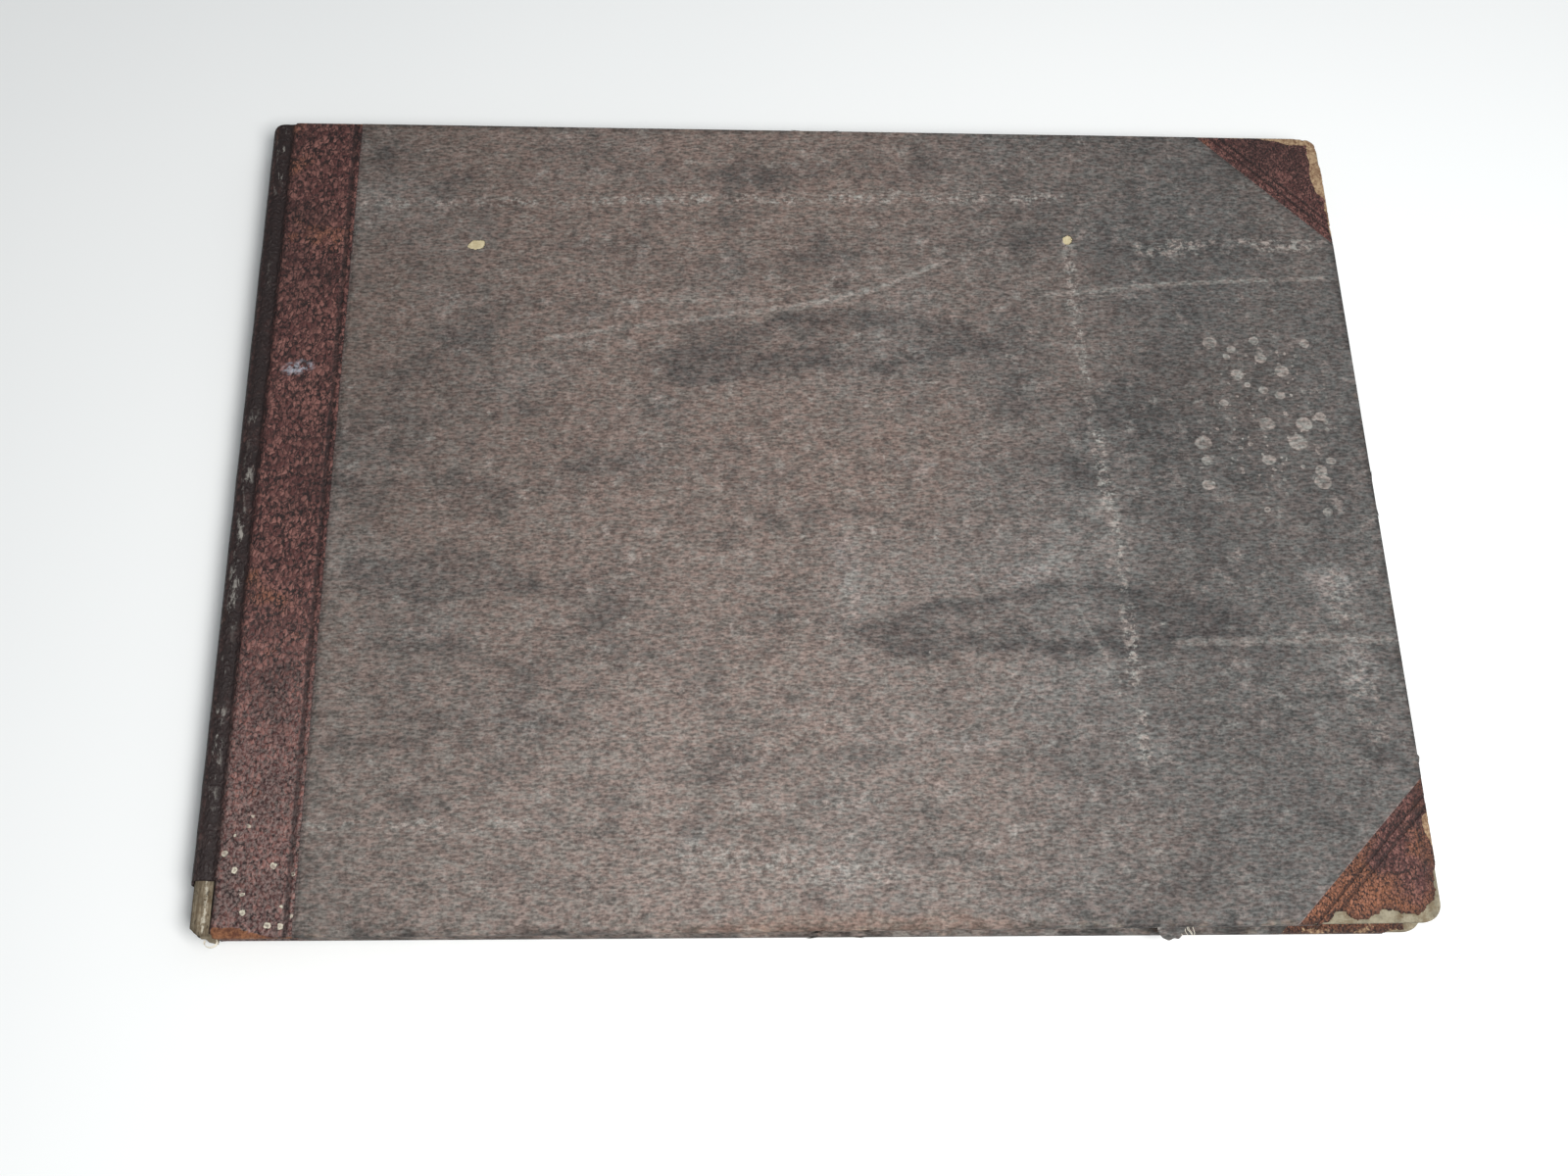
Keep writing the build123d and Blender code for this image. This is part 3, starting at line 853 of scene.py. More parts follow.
def linen(name, pitch=0.6 * MM, bends=False):
    """Plain-woven linen, as on hinges, tapes and mull."""
    material, graph, shader = blank_material(name)
    base = colour_of("linen")
    at = graph.resting_place() if bends else graph.object_coordinates()
    inputs = {"Vector": ragged(graph, at, 120.0, 0.5 * MM), "Pitch": pitch}
    threads = graph.group(weave_group(), inputs)["Height"]
    dark = shaded(base, 0.55)
    colour = graph.mix(threads, dark, base)
    colour = graph.mix(graph.step(graph.noise(at, 50.0, 4.0), 0.5, 0.7, 0.0, 0.5), colour, dark)
    normal = graph.bump(threads, 0.1 * MM, 0.9)
    finish_material(graph, shader, colour, graph.step(threads, 0.0, 1.0, 0.95, 0.8), normal, 0.2)
    return material


def finish_of(name):
    """A finish by name, made the first time it is asked for."""
    if name in bpy.data.materials:
        return bpy.data.materials[name]
    makers = {
        "book_cloth_front": lambda: book_cloth("front"),
        "book_cloth_back": lambda: book_cloth("back"),
        "joint_leather_front": lambda: leather("joint_leather_front", 0.2, True, True, STRIP_TOOLING),
        "joint_leather_back": lambda: leather("joint_leather_back", 0.2, True, False, STRIP_TOOLING),
        "corner_leather_head": lambda: leather("corner_leather_head", 0.5, tooled=corner_tooling(1)),
        "corner_leather_tail": lambda: leather("corner_leather_tail", 1.25, tooled=corner_tooling(-1)),
        "worn_board": lambda: card("worn_board", "board_card", 0.8 * MM, 0.6, covered=True),
        "spine_card": lambda: card("spine_card", "spine_lining", 0.4 * MM, 0.6, True),
        "kraft": lambda: card("kraft", "spine_lining", 0.5 * MM, 0.6),
        "leaf": lambda: paper("leaf", "leaf_card", True),
        "endpaper": lambda: paper("endpaper", "paper_aged"),
        "linen": lambda: linen("linen"),
        "guard_linen": lambda: linen("guard_linen", bends=True),
        "thread": lambda: linen("thread", 0.3 * MM),
    }
    return makers[name]()


STRIP_TOOLING = ((STRIP_END / MM - 2.2, -150, STRIP_END / MM - 2.2, 150, 1.3, 0.9),)
SPINE_RIDGE_RUBS = ((HINGE_X / MM - 3.6, -125, HINGE_X / MM - 3.6, 140, 2.2, 1.0),)
TORN_PAPER_STRIPE = ((HINGE_X / MM - 2.3, -142, HINGE_X / MM - 2.5, -125, 0.55, 0.9),)


def hem_highlight_lines():
    """Where the cloth's cut edges lie over the leather: the lines of a painted highlight where these edges
    catch the light.
    """
    leg = sizes().corner_leg / MM - 0.3
    fore = FORE_EDGE / MM
    width = HALF_WIDTH / MM
    start = STRIP_END / MM + 0.3
    return (
        (start, -width, start, width, 0.6, 0.7),
        (fore - leg, width, fore, width - leg, 0.7, 1.0),
        (fore - leg, -width, fore, leg - width, 0.7, 1.0),
    )


def corner_tooling(end):
    """Two blind lines beside a corner's diagonal."""
    leg = sizes().corner_leg / MM
    fore = FORE_EDGE / MM
    width = HALF_WIDTH / MM
    lines = []
    for inset in (3.6, 6.4):
        shift = inset * math.sqrt(2)
        lines.append((fore - leg + shift, end * width, fore, end * (width - leg + shift), 0.75, 0.9))
    return tuple(lines)


# ---- mesh helpers ----------------------------------------------------------------------------
def new_piece(name, bm, material, smooth=True):
    """Puts a bmesh in the scene as one piece with one finish."""
    mesh = bpy.data.meshes.new(name)
    bm.to_mesh(mesh)
    bm.free()
    piece = bpy.data.objects.new(name, mesh)
    bpy.context.scene.collection.objects.link(piece)
    mesh.materials.append(finish_of(material))
    mesh.polygons.foreach_set("use_smooth", [smooth] * len(mesh.polygons))
    return piece


def flat_grid(x0, x1, y0, y1, z, step):
    """A flat grid of nearly square faces."""
    bm = bmesh.new()
    across = max(1, round((x1 - x0) / step))
    along = max(1, round((y1 - y0) / step))
    bmesh.ops.create_grid(bm, x_segments=across, y_segments=along, size=0.5)
    bmesh.ops.scale(bm, vec=(x1 - x0, y1 - y0, 1.0), verts=bm.verts)
    bmesh.ops.translate(bm, vec=((x0 + x1) / 2, (y0 + y1) / 2, z), verts=bm.verts)
    return bm


def roll_path(radius, depth, turn_in):
    """Steps (outwards, downwards) that carry a covering over an edge and under the board."""
    turns = 4
    path = []
    for k in range(1, turns + 1):
        angle = math.pi / 2 * k / turns
        path.append((radius * math.sin(angle), radius * (1 - math.cos(angle))))
    for k in range(1, turns + 1):
        angle = math.pi / 2 * k / turns
        path.append((radius * math.cos(angle), depth - radius + radius * math.sin(angle)))
    for k in range(1, 4):
        path.append((-turn_in * k / 3, depth))
    return path


def extruded(bm, edges):
    """Extrudes edges in place and returns the new vertices and the new edges."""
    made = bmesh.ops.extrude_edge_only(bm, edges=edges)["geom"]
    fresh = [g for g in made if isinstance(g, bmesh.types.BMVert)]
    return fresh, [g for g in made if isinstance(g, bmesh.types.BMEdge)]


def roll_edges(bm, edges, outward, path):
    """Extrudes boundary edges along the path. outward gives each vertex its way off the sheet."""
    homes = {}
    for edge in edges:
        for vert in edge.verts:
            homes[vert] = (vert.co.copy(), outward(vert.co))
    for out, down in path:
        fresh, edges = extruded(bm, edges)
        homes = follow(fresh, homes, out, down)
    return edges


def follow(fresh, homes, out, down):
    """Moves newly extruded vertices to the next point of the path and hands their homes on."""
    carried = {}
    for vert in fresh:
        parent = next(e.other_vert(vert) for e in vert.link_edges if e.other_vert(vert) in homes)
        start, direction = homes[parent]
        vert.co = start + direction * out - Vector((0.0, 0.0, down))
        carried[vert] = (start, direction)
    return carried


def boundary_edges(bm, keep):
    """Boundary edges whose two ends both pass a test."""
    return [e for e in bm.edges if e.is_boundary and all(keep(v.co) for v in e.verts)]


def cut_away(bm, point, normal):
    """Cuts the mesh with a plane and drops what lies on the normal's side."""
    geometry = list(bm.verts) + list(bm.edges) + list(bm.faces)
    bmesh.ops.bisect_plane(bm, geom=geometry, plane_co=point, plane_no=normal, clear_outer=True)


def mirror(bm):
    """Flips a piece over from the front cover's side of the album to the back cover's."""
    flip = Matrix.Translation((0, 0, TOP)) @ Matrix.Diagonal((1, 1, -1, 1))
    bmesh.ops.transform(bm, matrix=flip, verts=bm.verts)
    bmesh.ops.reverse_faces(bm, faces=bm.faces)


def to_back(bm):
    """Turns a piece modelled for the front cover into its twin on the back cover."""
    mirror(bm)
    turn = Matrix.Rotation(-BACK_TURN, 4, "Z")
    turn = Matrix.Translation((BOARD_MIDDLE, 0, 0)) @ turn @ Matrix.Translation((-BOARD_MIDDLE, 0, 0))
    bmesh.ops.transform(bm, matrix=turn, verts=bm.verts)


def thicken(piece, thickness):
    """Gives a skin its thickness, inwards from its outer face."""
    solid = piece.modifiers.new("thickness", "SOLIDIFY")
    solid.thickness = thickness
    solid.offset = -1.0
    return solid


def paint(piece, name, value):
    """Stores a number on every point of a piece for its material to read."""
    layer = piece.data.attributes.new(name, "FLOAT", "POINT")
    layer.data.foreach_set("value", [value(v.co) for v in piece.data.vertices])


def keep_place(piece):
    """Stores where each point of a bending piece rests, so that its pattern bends with it."""
    layer = piece.data.attributes.new("resting_place", "FLOAT_VECTOR", "POINT")
    for point, vert in zip(layer.data, piece.data.vertices):
        point.vector = vert.co


def grainy(co, scale, seed=0.0):
    """Smooth noise from -1 to 1 at a point."""
    return noise.noise(Vector((co.x * scale + seed, co.y * scale - seed, seed)))


def wandering(co, reach):
    """A point pushed about so that a mark drawn round it gets an uneven outline."""
    wide = noise.noise_vector(Vector((co.x * 26.0, co.y * 26.0, 1.0)))
    close = noise.noise_vector(Vector((co.x * 95.0, co.y * 95.0, 5.0)))
    return co.xy + (wide.xy + close.xy * 0.35) * reach


def nearness(point, mark):
    """Distance from the middle of an oval mark, where 1 is its outline."""
    x, y, long_half, short_half, turn = mark[:5]
    away = (point - Vector((x * MM, y * MM))) / MM
    angle = math.radians(turn)
    along = away.x * math.cos(angle) + away.y * math.sin(angle)
    across = away.y * math.cos(angle) - away.x * math.sin(angle)
    return math.hypot(along / long_half, across / short_half)


def soft_marks(co, marks, reach=9 * MM):
    """The strongest of several soft marks at a point."""
    point = wandering(co, reach)
    return max(mark[5] * smooth_rise(-nearness(point, mark), -1.1, -0.3) for mark in marks)


def tide_lines(co, marks):
    """The strongest of several tide lines at a point: soft inside, sharper outside."""
    point = wandering(co, 9 * MM)
    total = 0.0
    for mark in marks:
        near = nearness(point, mark)
        band = (0.35 + 0.65 * smooth_rise(near, 0.35, 0.95)) * smooth_rise(-near, -1.22, -0.98)
        total = max(total, mark[5] * band)
    return total


def smooth_rise(value, low, high):
    share = min(1.0, max(0.0, (value - low) / (high - low)))
    return share * share * (3 - 2 * share)


def cover_reach(side):
    """Fore-edge of the covering on one side, before the back cover is turned."""
    return FORE_EDGE - (BACK_SLIP if side == "back" else 0.0)


def edge_distance(co, side):
    """How far a point of a cover lies in from its three outer edges."""
    return min(cover_reach(side) - co.x, HALF_WIDTH - abs(co.y))


# ---- operators -------------------------------------------------------------------------------
class ALBUM_OT_cloth_sides(bpy.types.Operator):
    """Lays the ribbed cloth on both boards, folded over three edges"""

    bl_idname = "album.cloth_sides"
    bl_label = "Cloth sides"

    def execute(self, context):
        noise.seed_set(MARK_SEED)
        for side in ("front", "back"):
            self.lay(side)
        return {"FINISHED"}

    def lay(self, side):
        """One side's cloth: its flat face, its three turned edges, its cut corners and its marks."""
        size = sizes()
        radius = size.edge_radius
        reach = cover_reach(side)
        top = TOP + size.cloth_proud
        half = HALF_WIDTH - radius
        bm = flat_grid(STRIP_END, reach - radius, -half, half, top, size.cloth_step)
        if side == "front":
            self.cut_holes(bm)
        path = roll_path(radius, WRAP_DEPTH + size.cloth_proud, size.turn_in)
        for axis, limit, direction in (
            ("x", reach - radius, Vector((1, 0, 0))),
            ("y", half, Vector((0, 1, 0))),
            ("y", -half, Vector((0, -1, 0))),
        ):
            edges = boundary_edges(bm, lambda co: abs(getattr(co, axis) - limit) < TINY)
            roll_edges(bm, edges, lambda co: direction, path)
        for end in (1, -1):
            point = (reach - size.corner_leg, end * HALF_WIDTH, top)
            cut_away(bm, point, (1, end, 0))
        for vert in bm.verts:
            ripple = 0.07 * MM * grainy(vert.co, 22.0, 3.0)
            frayed = 0.28 * MM * grainy(vert.co, 190.0, 7.0)
            if vert.co.z > top - radius:
                vert.co.z += ripple - 0.05 * MM
            if vert.co.x < STRIP_END + TINY:
                vert.co.x += frayed
        if side == "back":
            to_back(bm)
        piece = new_piece(f"{side}_side_cloth", bm, f"book_cloth_{side}")
        front = side == "front"
        paint(piece, "edge_wear", lambda co: smooth_rise(2.2 * MM - edge_distance(co, side), 0.0, 2.0 * MM))
        paint(piece, "stain", lambda co: soft_marks(co, DARK_STAINS if front else BACK_STAINS))
        paint(piece, "tide", lambda co: tide_lines(co, TIDE_MARKS if front else BACK_TIDES))
        paint(piece, "smear", lambda co: soft_marks(co, PALE_SMEARS if front else BACK_SMEARS, 6 * MM))
        thicken(piece, size.cloth_thickness)
        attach(piece, f"{side}_cover")
        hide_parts(f"{side}_cloth")

    def cut_holes(self, bm):
        """The worn holes of the front cloth, with uneven outlines."""
        for x, y, radius in CLOTH_HOLES:
            centre = Vector((x * MM, y * MM))
            reach = 3.2 * radius * MM
            near = [f for f in bm.faces if (f.calc_center_median().xy - centre).length < reach]
            edges = list({e for f in near for e in f.edges})
            bmesh.ops.subdivide_edges(bm, edges=edges, cuts=5, use_grid_fill=True)
            middles = {f: f.calc_center_median() for f in bm.faces}
            limits = {f: radius * MM * (1.0 + 0.8 * grainy(m, 280.0, 5.0)) for f, m in middles.items()}
            gone = [f for f, m in middles.items() if (m.xy - centre).length < limits[f]]
            bmesh.ops.delete(bm, geom=gone, context="FACES")


def joint_profile(length):
    """Height and place of the front half of the leather, a given way along it from the middle of the spine.

    It climbs the spine, goes over the rounded shoulder, dips into the groove and lies flat on the board.
    """
    points = JOINT_POINTS
    for (s0, x0, z0), (s1, x1, z1) in zip(points, points[1:]):
        if length <= s1:
            share = (length - s0) / (s1 - s0)
            return x0 + (x1 - x0) * share, z0 + (z1 - z0) * share
    return points[-1][1] + length - points[-1][0], points[-1][2]


def joint_points():
    """The profile's points, each with its distance along the leather."""
    skin_top = TOP - LEATHER_SINK
    centre_x = SPINE_FACE + SHOULDER
    centre_z = TOP - 0.25 * MM - SHOULDER
    raw = [(SPINE_FACE, TOP / 2), (SPINE_FACE, centre_z)]
    for k in range(1, 9):
        angle = math.pi / 2 * k / 8
        raw.append((centre_x - SHOULDER * math.cos(angle), centre_z + SHOULDER * math.sin(angle)))
    raw += [
        (HINGE_X - 3.2 * MM, TOP - 0.32 * MM),
        (HINGE_X - 2.3 * MM, TOP - 0.80 * MM),
        (HINGE_X - 1.5 * MM, TOP - 1.30 * MM),
        (HINGE_X - 0.9 * MM, TOP - 1.32 * MM),
        (HINGE_X - 0.3 * MM, TOP - 0.85 * MM),
        (HINGE_X + 0.3 * MM, TOP - 0.30 * MM),
        (HINGE_X + 1.0 * MM, skin_top - 0.02 * MM),
        (HINGE_X + 2.6 * MM, skin_top),
    ]
    points = [(0.0, *raw[0])]
    for (x0, z0), (x1, z1) in zip(raw, raw[1:]):
        points.append((points[-1][0] + math.hypot(x1 - x0, z1 - z0), x1, z1))
    return points


JOINT_POINTS = joint_points()


class ALBUM_OT_joint_leather(bpy.types.Operator):
    """Covers the spine and both joints with leather that bends at the hinges"""

    bl_idname = "album.joint_leather"
    bl_label = "Spine and joint leather"

    def execute(self, context):
        for side in ("front", "back"):
            self.cover(side)
        return {"FINISHED"}

    def cover(self, side):
        """Half of the spine's leather and the strip on one board, shaped along the joint's profile."""
        size = sizes()
        radius = size.edge_radius
        on_board = JOINT_POINTS[-1][0]
        end = on_board + STRIP_END + size.leather_under - JOINT_POINTS[-1][1]
        bm = flat_grid(0.0, end, radius - HALF_WIDTH, HALF_WIDTH - radius, 0.0, size.leather_step)
        board_edge = on_board - 2.2 * MM
        path = roll_path(radius, WRAP_DEPTH - LEATHER_LIFT, size.turn_in)
        rolls = []
        for sign in (1, -1):
            limit = sign * (HALF_WIDTH - radius)
            edges = boundary_edges(bm, lambda co: abs(co.y - limit) < TINY and co.x > board_edge)
            rolls.append((edges, Vector((0, sign, 0))))
        for edges, direction in rolls:
            roll_edges(bm, edges, lambda co: direction, path)
        for vert in bm.verts:
            along = vert.co.x
            x, z = joint_profile(along)
            if -3.4 * MM < x - HINGE_X < 0.6 * MM:
                filled = 0.85 * smooth_rise(abs(vert.co.y), HALF_WIDTH - 8 * MM, HALF_WIDTH - MM)
                z += filled * (TOP - 0.34 * MM - z)
            y = self.rounded_end(x, vert.co.y, along < board_edge)
            vert.co = Vector((x, y, z + vert.co.z))
            if along > on_board:
                vert.co.z += 0.05 * MM * grainy(vert.co, 60.0, 2.0)
            elif along < board_edge:
                vert.co.x += 0.12 * MM * grainy(vert.co, 90.0, 4.0)
                vert.co.z += 0.14 * MM * grainy(vert.co, 120.0, 6.0)
        torn = [f for f in bm.faces if self.torn_away(f.calc_center_median())]
        bmesh.ops.delete(bm, geom=torn, context="FACES")
        if side == "back":
            self.to_back(bm)
        piece = new_piece(f"{side}_spine_and_joint_leather", bm, f"joint_leather_{side}")
        keep_place(piece)
        paint(piece, "rubbed", lambda co: self.rubbed(co, side))
        # Painted shade on the spine and in its groove, soil at the leather's ends.
        paint(piece, "soil_and_shade", lambda co: self.soil_and_shade(co))
        thicken(piece, size.leather_thickness)
        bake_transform(piece)
        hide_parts(f"{side}_joint_leather", "spine_leather")

    def torn_away(self, middle):
        """The leather of the spine ends raggedly above its foot."""
        ragged_tail = SPINE_TAIL + 1.6 * MM * grainy(middle, 260.0, 9.0)
        return middle.x < HINGE_X - 0.3 * MM and middle.y < ragged_tail

    def rounded_end(self, x, y, on_spine):
        """Draws in the ends of the spine leather so that its outer corners are round in plan."""
        if not on_spine or (y < 0 and x > HINGE_X - MM):
            radius = JOINT_END_RADIUS
            lack = min(radius, max(0.0, HINGE_X + 1.8 * MM - x)) if y < 0 else 0.0
            fall = radius - math.sqrt(radius * radius - lack * lack)
            return y + 0.8 * fall * smooth_rise(-y, HALF_WIDTH - 8 * MM, HALF_WIDTH)
        radius = SPINE_END_RADIUS
        lack = max(0.0, SPINE_FACE + radius - x)
        fall = radius - math.sqrt(max(0.0, radius * radius - lack * lack))
        near_end = smooth_rise(abs(y), HALF_WIDTH - 14 * MM, HALF_WIDTH)
        return y - math.copysign(0.55 * fall * near_end, y)

    def to_back(self, bm):
        """Mirrors the leather to the back cover and turns only what lies on the board."""
        mirror(bm)
        for vert in bm.verts:
            share = smooth_rise(vert.co.x, HINGE_X - 1.5 * MM, HINGE_X + 2 * MM)
            turn = -BACK_TURN * share
            x = vert.co.x - BOARD_MIDDLE
            vert.co.x = BOARD_MIDDLE + x * math.cos(turn) - vert.co.y * math.sin(turn)
            vert.co.y = x * math.sin(turn) + vert.co.y * math.cos(turn)

    def rubbed(self, co, side):
        """Bare along the two ends: a wedge at the tail next to the spine, and a scrape at the head."""
        from_end = HALF_WIDTH - abs(co.y)
        value = 0.36 * smooth_rise(1.4 * MM - from_end, 0.0, 1.4 * MM) if co.x > HINGE_X + MM else 0.0
        if side == "front" and co.x > HINGE_X + 0.4 * MM:
            wedge = 3.4 * MM * smooth_rise(-co.x, 0.163, 0.177)
            scrape = 2.4 * MM * smooth_rise(co.x, -0.178, -0.172)
            depth = (wedge if co.y < 0 else 0.55 * scrape) - from_end + 0.5 * MM * grainy(co, 260.0, 3.0)
            value = max(value, smooth_rise(depth, -0.8 * MM, 0.8 * MM) * (0.95 if co.y < 0 else 0.5))
        return value

    def soil_and_shade(self, co):
        """Painted shade on the spine and its groove, which turn away from the light: they are painted nearly
        black, a narrow band 6 mm in from the hinge less so. The leather on the board is darkened only at its
        edges.
        """
        ends = 0.8 * smooth_rise(0.7 * MM - (HALF_WIDTH - abs(co.y)), 0.0, 0.7 * MM)
        # Painted shade on the spine and in the groove; a band 6 mm in from the hinge is left less dark.
        spine = smooth_rise(HINGE_X + 1.6 * MM - co.x, 0.0, 2.6 * MM) * 0.97
        lighter = 0.20 * smooth_rise(1.2 * MM - abs(co.x - (HINGE_X - 6.0 * MM)), 0.0, 1.2 * MM)
        return max(ends, spine - lighter)


class ALBUM_OT_leather_corners(bpy.types.Operator):
    """Fits the four leather corners, worn through at the boards' corners"""

    bl_idname = "album.leather_corners"
    bl_label = "Leather corners"

    def execute(self, context):
        for side in ("front", "back"):
            for label, end in (("head", 1), ("tail", -1)):
                self.fit(side, label, end)
        return {"FINISHED"}

    def fit(self, side, label, end):
        """One corner: turned in round its edges, cut along its diagonal and worn through."""
        size = sizes()
        radius = size.edge_radius
        round_off = size.corner_radius - radius
        reach = cover_reach(side)
        leg = size.corner_leg + 1.5 * size.leather_under
        top = TOP - LEATHER_SINK
        x0 = reach - leg
        y0 = HALF_WIDTH - leg
        inner_x = reach - size.corner_radius
        inner_y = HALF_WIDTH - size.corner_radius
        step = 0.55 * size.leather_step
        bm = flat_grid(x0, inner_x + round_off, y0, inner_y + round_off, top, step)
        for vert in bm.verts:
            u = (vert.co.x - inner_x) / round_off
            v = (vert.co.y - inner_y) / round_off
            if u > 0 and v > 0:
                vert.co.x = inner_x + round_off * u * math.sqrt(1 - v * v / 2)
                vert.co.y = inner_y + round_off * v * math.sqrt(1 - u * u / 2)

        def outward(co):
            direction = Vector((max(0.0, co.x - inner_x), max(0.0, co.y - inner_y), 0.0))
            return direction.normalized()

        edges = boundary_edges(bm, lambda co: co.x > x0 + TINY or co.y > y0 + TINY)
        edges = [e for e in edges if all(outward(v.co).length > 0.5 for v in e.verts)]
        inner = {v for e in edges for v in e.verts if abs(v.co.x - x0) < TINY or abs(v.co.y - y0) < TINY}
        edges = [e for e in edges if not inner.issuperset(e.verts)]
        roll_edges(bm, edges, outward, roll_path(radius, WRAP_DEPTH - LEATHER_LIFT, 0.5 * size.turn_in))
        cut_away(bm, (reach - size.corner_leg - size.leather_under, HALF_WIDTH, top), (-1, -1, 0))
        lost = [f for f in bm.faces if self.loss(f.calc_center_median(), side, label, reach) > 0]
        bmesh.ops.delete(bm, geom=lost, context="FACES")
        for _ in range(2):
            rim = [v for v in bm.verts if v.is_boundary and v.co.z > top - 0.5 * size.edge_radius]
            axes = {f"use_axis_{axis}": True for axis in "xyz"}
            bmesh.ops.smooth_vert(bm, verts=rim, factor=0.5, **axes)
        for vert in bm.verts:
            vert.co.z += 0.07 * MM * grainy(vert.co, 80.0, 2.0)
            if vert.is_boundary and vert.co.z > top - MM:
                vert.co.z += 0.05 * MM
        if end < 0:
            bmesh.ops.scale(bm, vec=(1, -1, 1), verts=bm.verts)
            bmesh.ops.reverse_faces(bm, faces=bm.faces)
        if side == "back":
            to_back(bm)
        piece = new_piece(f"{side}_{label}_corner_skin", bm, f"corner_leather_{label}")
        paint(piece, "rubbed", lambda co: self.rubbed(co, side, label, reach))
        paint(piece, "soil_and_shade", lambda co: self.soil_and_shade(co, side, label, reach))
        thicken(piece, size.leather_thickness)
        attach(piece, f"{side}_cover")
        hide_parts(f"{side}_{label}_corner_leather")

    def insets(self, co, reach):
        """Distances from the fore-edge and from the head or tail edge, in millimetres."""
        return (reach - co.x) / MM, (HALF_WIDTH - abs(co.y)) / MM

    def loss(self, co, side, label, reach):
        """How far a point lies inside the lost leather, in millimetres; negative where leather is left."""
        a, b = self.insets(co, reach)
        rough = grainy(co, 330.0, 4.0) + 0.5 * grainy(co, 900.0, 8.0)
        if side == "front" and label == "head":
            fore = 1.0 * smooth_rise(16 - b, 0, 8) + 0.6 * rough
            head = 0.9 * smooth_rise(11 - a, 0, 5) + 0.5 * rough
            return max(fore - a, head - b)
        if side == "front":
            scallop = 2.7 + 1.5 * math.cos(0.36 * a) + 4.2 * math.exp(-((a / 8) ** 2))
            tail_edge = scallop * smooth_rise(37 - a, 0, 3) + 0.9 * rough
            fore = (1.3 + 3.4 * math.exp(-((b / 7) ** 2))) * smooth_rise(19 - b, 0, 4) + 0.5 * rough
            return max(tail_edge - b, fore - a)
        corner = 6.0 * math.exp(-((math.hypot(a, b) / 9) ** 2))
        return corner - 0.6 + 0.7 * rough - min(a, b)

    def rubbed(self, co, side, label, reach):
        """Scraped bands along the edges, with a soft margin that the finish breaks up."""
        a, b = self.insets(co, reach)
        rough = grainy(co, 200.0, 1.0)
        if side == "front" and label == "head":
            head = 3.2 * smooth_rise(24 - a, 0, 16) + 0.3
            fore = 3.6 * smooth_rise(27 - b, 0, 5) + 0.9 * smooth_rise(45 - b, 0, 5)
            depth = max(head - b, fore - a) + 0.8 * rough
            return smooth_rise(depth, -0.9, 0.9)
        if side == "front":
            fore = 2.4 * smooth_rise(36 - b, 0, 4) * smooth_rise(b, 22, 28)
            near_loss = 0.34 * smooth_rise(self.loss(co, side, label, reach), -1.4, 0.0)
            return max(near_loss, 0.9 * smooth_rise(fore - a + 0.8 * rough, -0.8, 0.8))
        return 0.46 * smooth_rise(1.8 + 3.4 * rough - min(a, b), -1.2, 1.2)

    def soil_and_shade(self, co, side, label, reach):
        """Dark edges, and dark leather beside what has worn away."""
        a, b = self.insets(co, reach)
        edge = 0.7 * smooth_rise(1.1 - min(a, b), 0.0, 1.0)
        beside = 0.6 * smooth_rise(self.loss(co, side, label, reach), -2.4, -0.4)
        upper = 0.55 * smooth_rise(2.5 - abs(a - 3.5), 0.0, 2.5) * smooth_rise(b, 8, 16)
        if side == "front" and label == "head":
            upper = 0.3 * smooth_rise(5 - abs(a - 8), 0.0, 5) * smooth_rise(30 - b, 0, 10)
            beside = 0.0
        return max(edge, beside, upper)


class ALBUM_OT_boards(bpy.types.Operator):
    """Makes both boards, with their bare worn corners"""

    bl_idname = "album.boards"
    bl_label = "Boards"

    def execute(self, context):
        for side in ("front", "back"):
            bm = self.board(side)
            if side == "back":
                to_back(bm)
            piece = new_piece(f"{side}_worn_board", bm, "worn_board", smooth=False)
            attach(piece, f"{side}_cover")
            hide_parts(f"{side}_board")
        return {"FINISHED"}

    def board(self, side):
        """One board: a rounded plate whose fore-edge corners are swollen and softened."""
        size = sizes()
        end = cover_reach(side) - BOARD_BEVEL
        start = BOARD_START + 0.9 * MM + (BACK_SLIP if side == "back" else 0.0)
        width = HALF_WIDTH - BOARD_BEVEL
        bm = flat_grid(start, end, -width, width, TOP - 0.46 * MM, end)
        corners = [v for v in bm.verts if v.co.x > 0]
        bmesh.ops.bevel(
            bm, geom=corners, offset=size.corner_radius, offset_type="OFFSET", segments=8,
            profile=0.5, affect="VERTICES", material=-1,
        )
        lift = bmesh.ops.extrude_face_region(bm, geom=bm.faces[:])["geom"]
        lower = [g for g in lift if isinstance(g, bmesh.types.BMVert)]
        bmesh.ops.translate(bm, vec=(0, 0, -(BOARD_DEPTH - BOARD_INSET)), verts=lower)
        bmesh.ops.recalc_face_normals(bm, faces=bm.faces)
        rims = [e for e in bm.edges if abs(e.verts[0].co.z - e.verts[1].co.z) < 1e-7]
        bmesh.ops.bevel(
            bm, geom=rims, offset=BOARD_BEVEL, offset_type="OFFSET", segments=3,
            profile=0.5, affect="EDGES", material=-1,
        )
        return bm


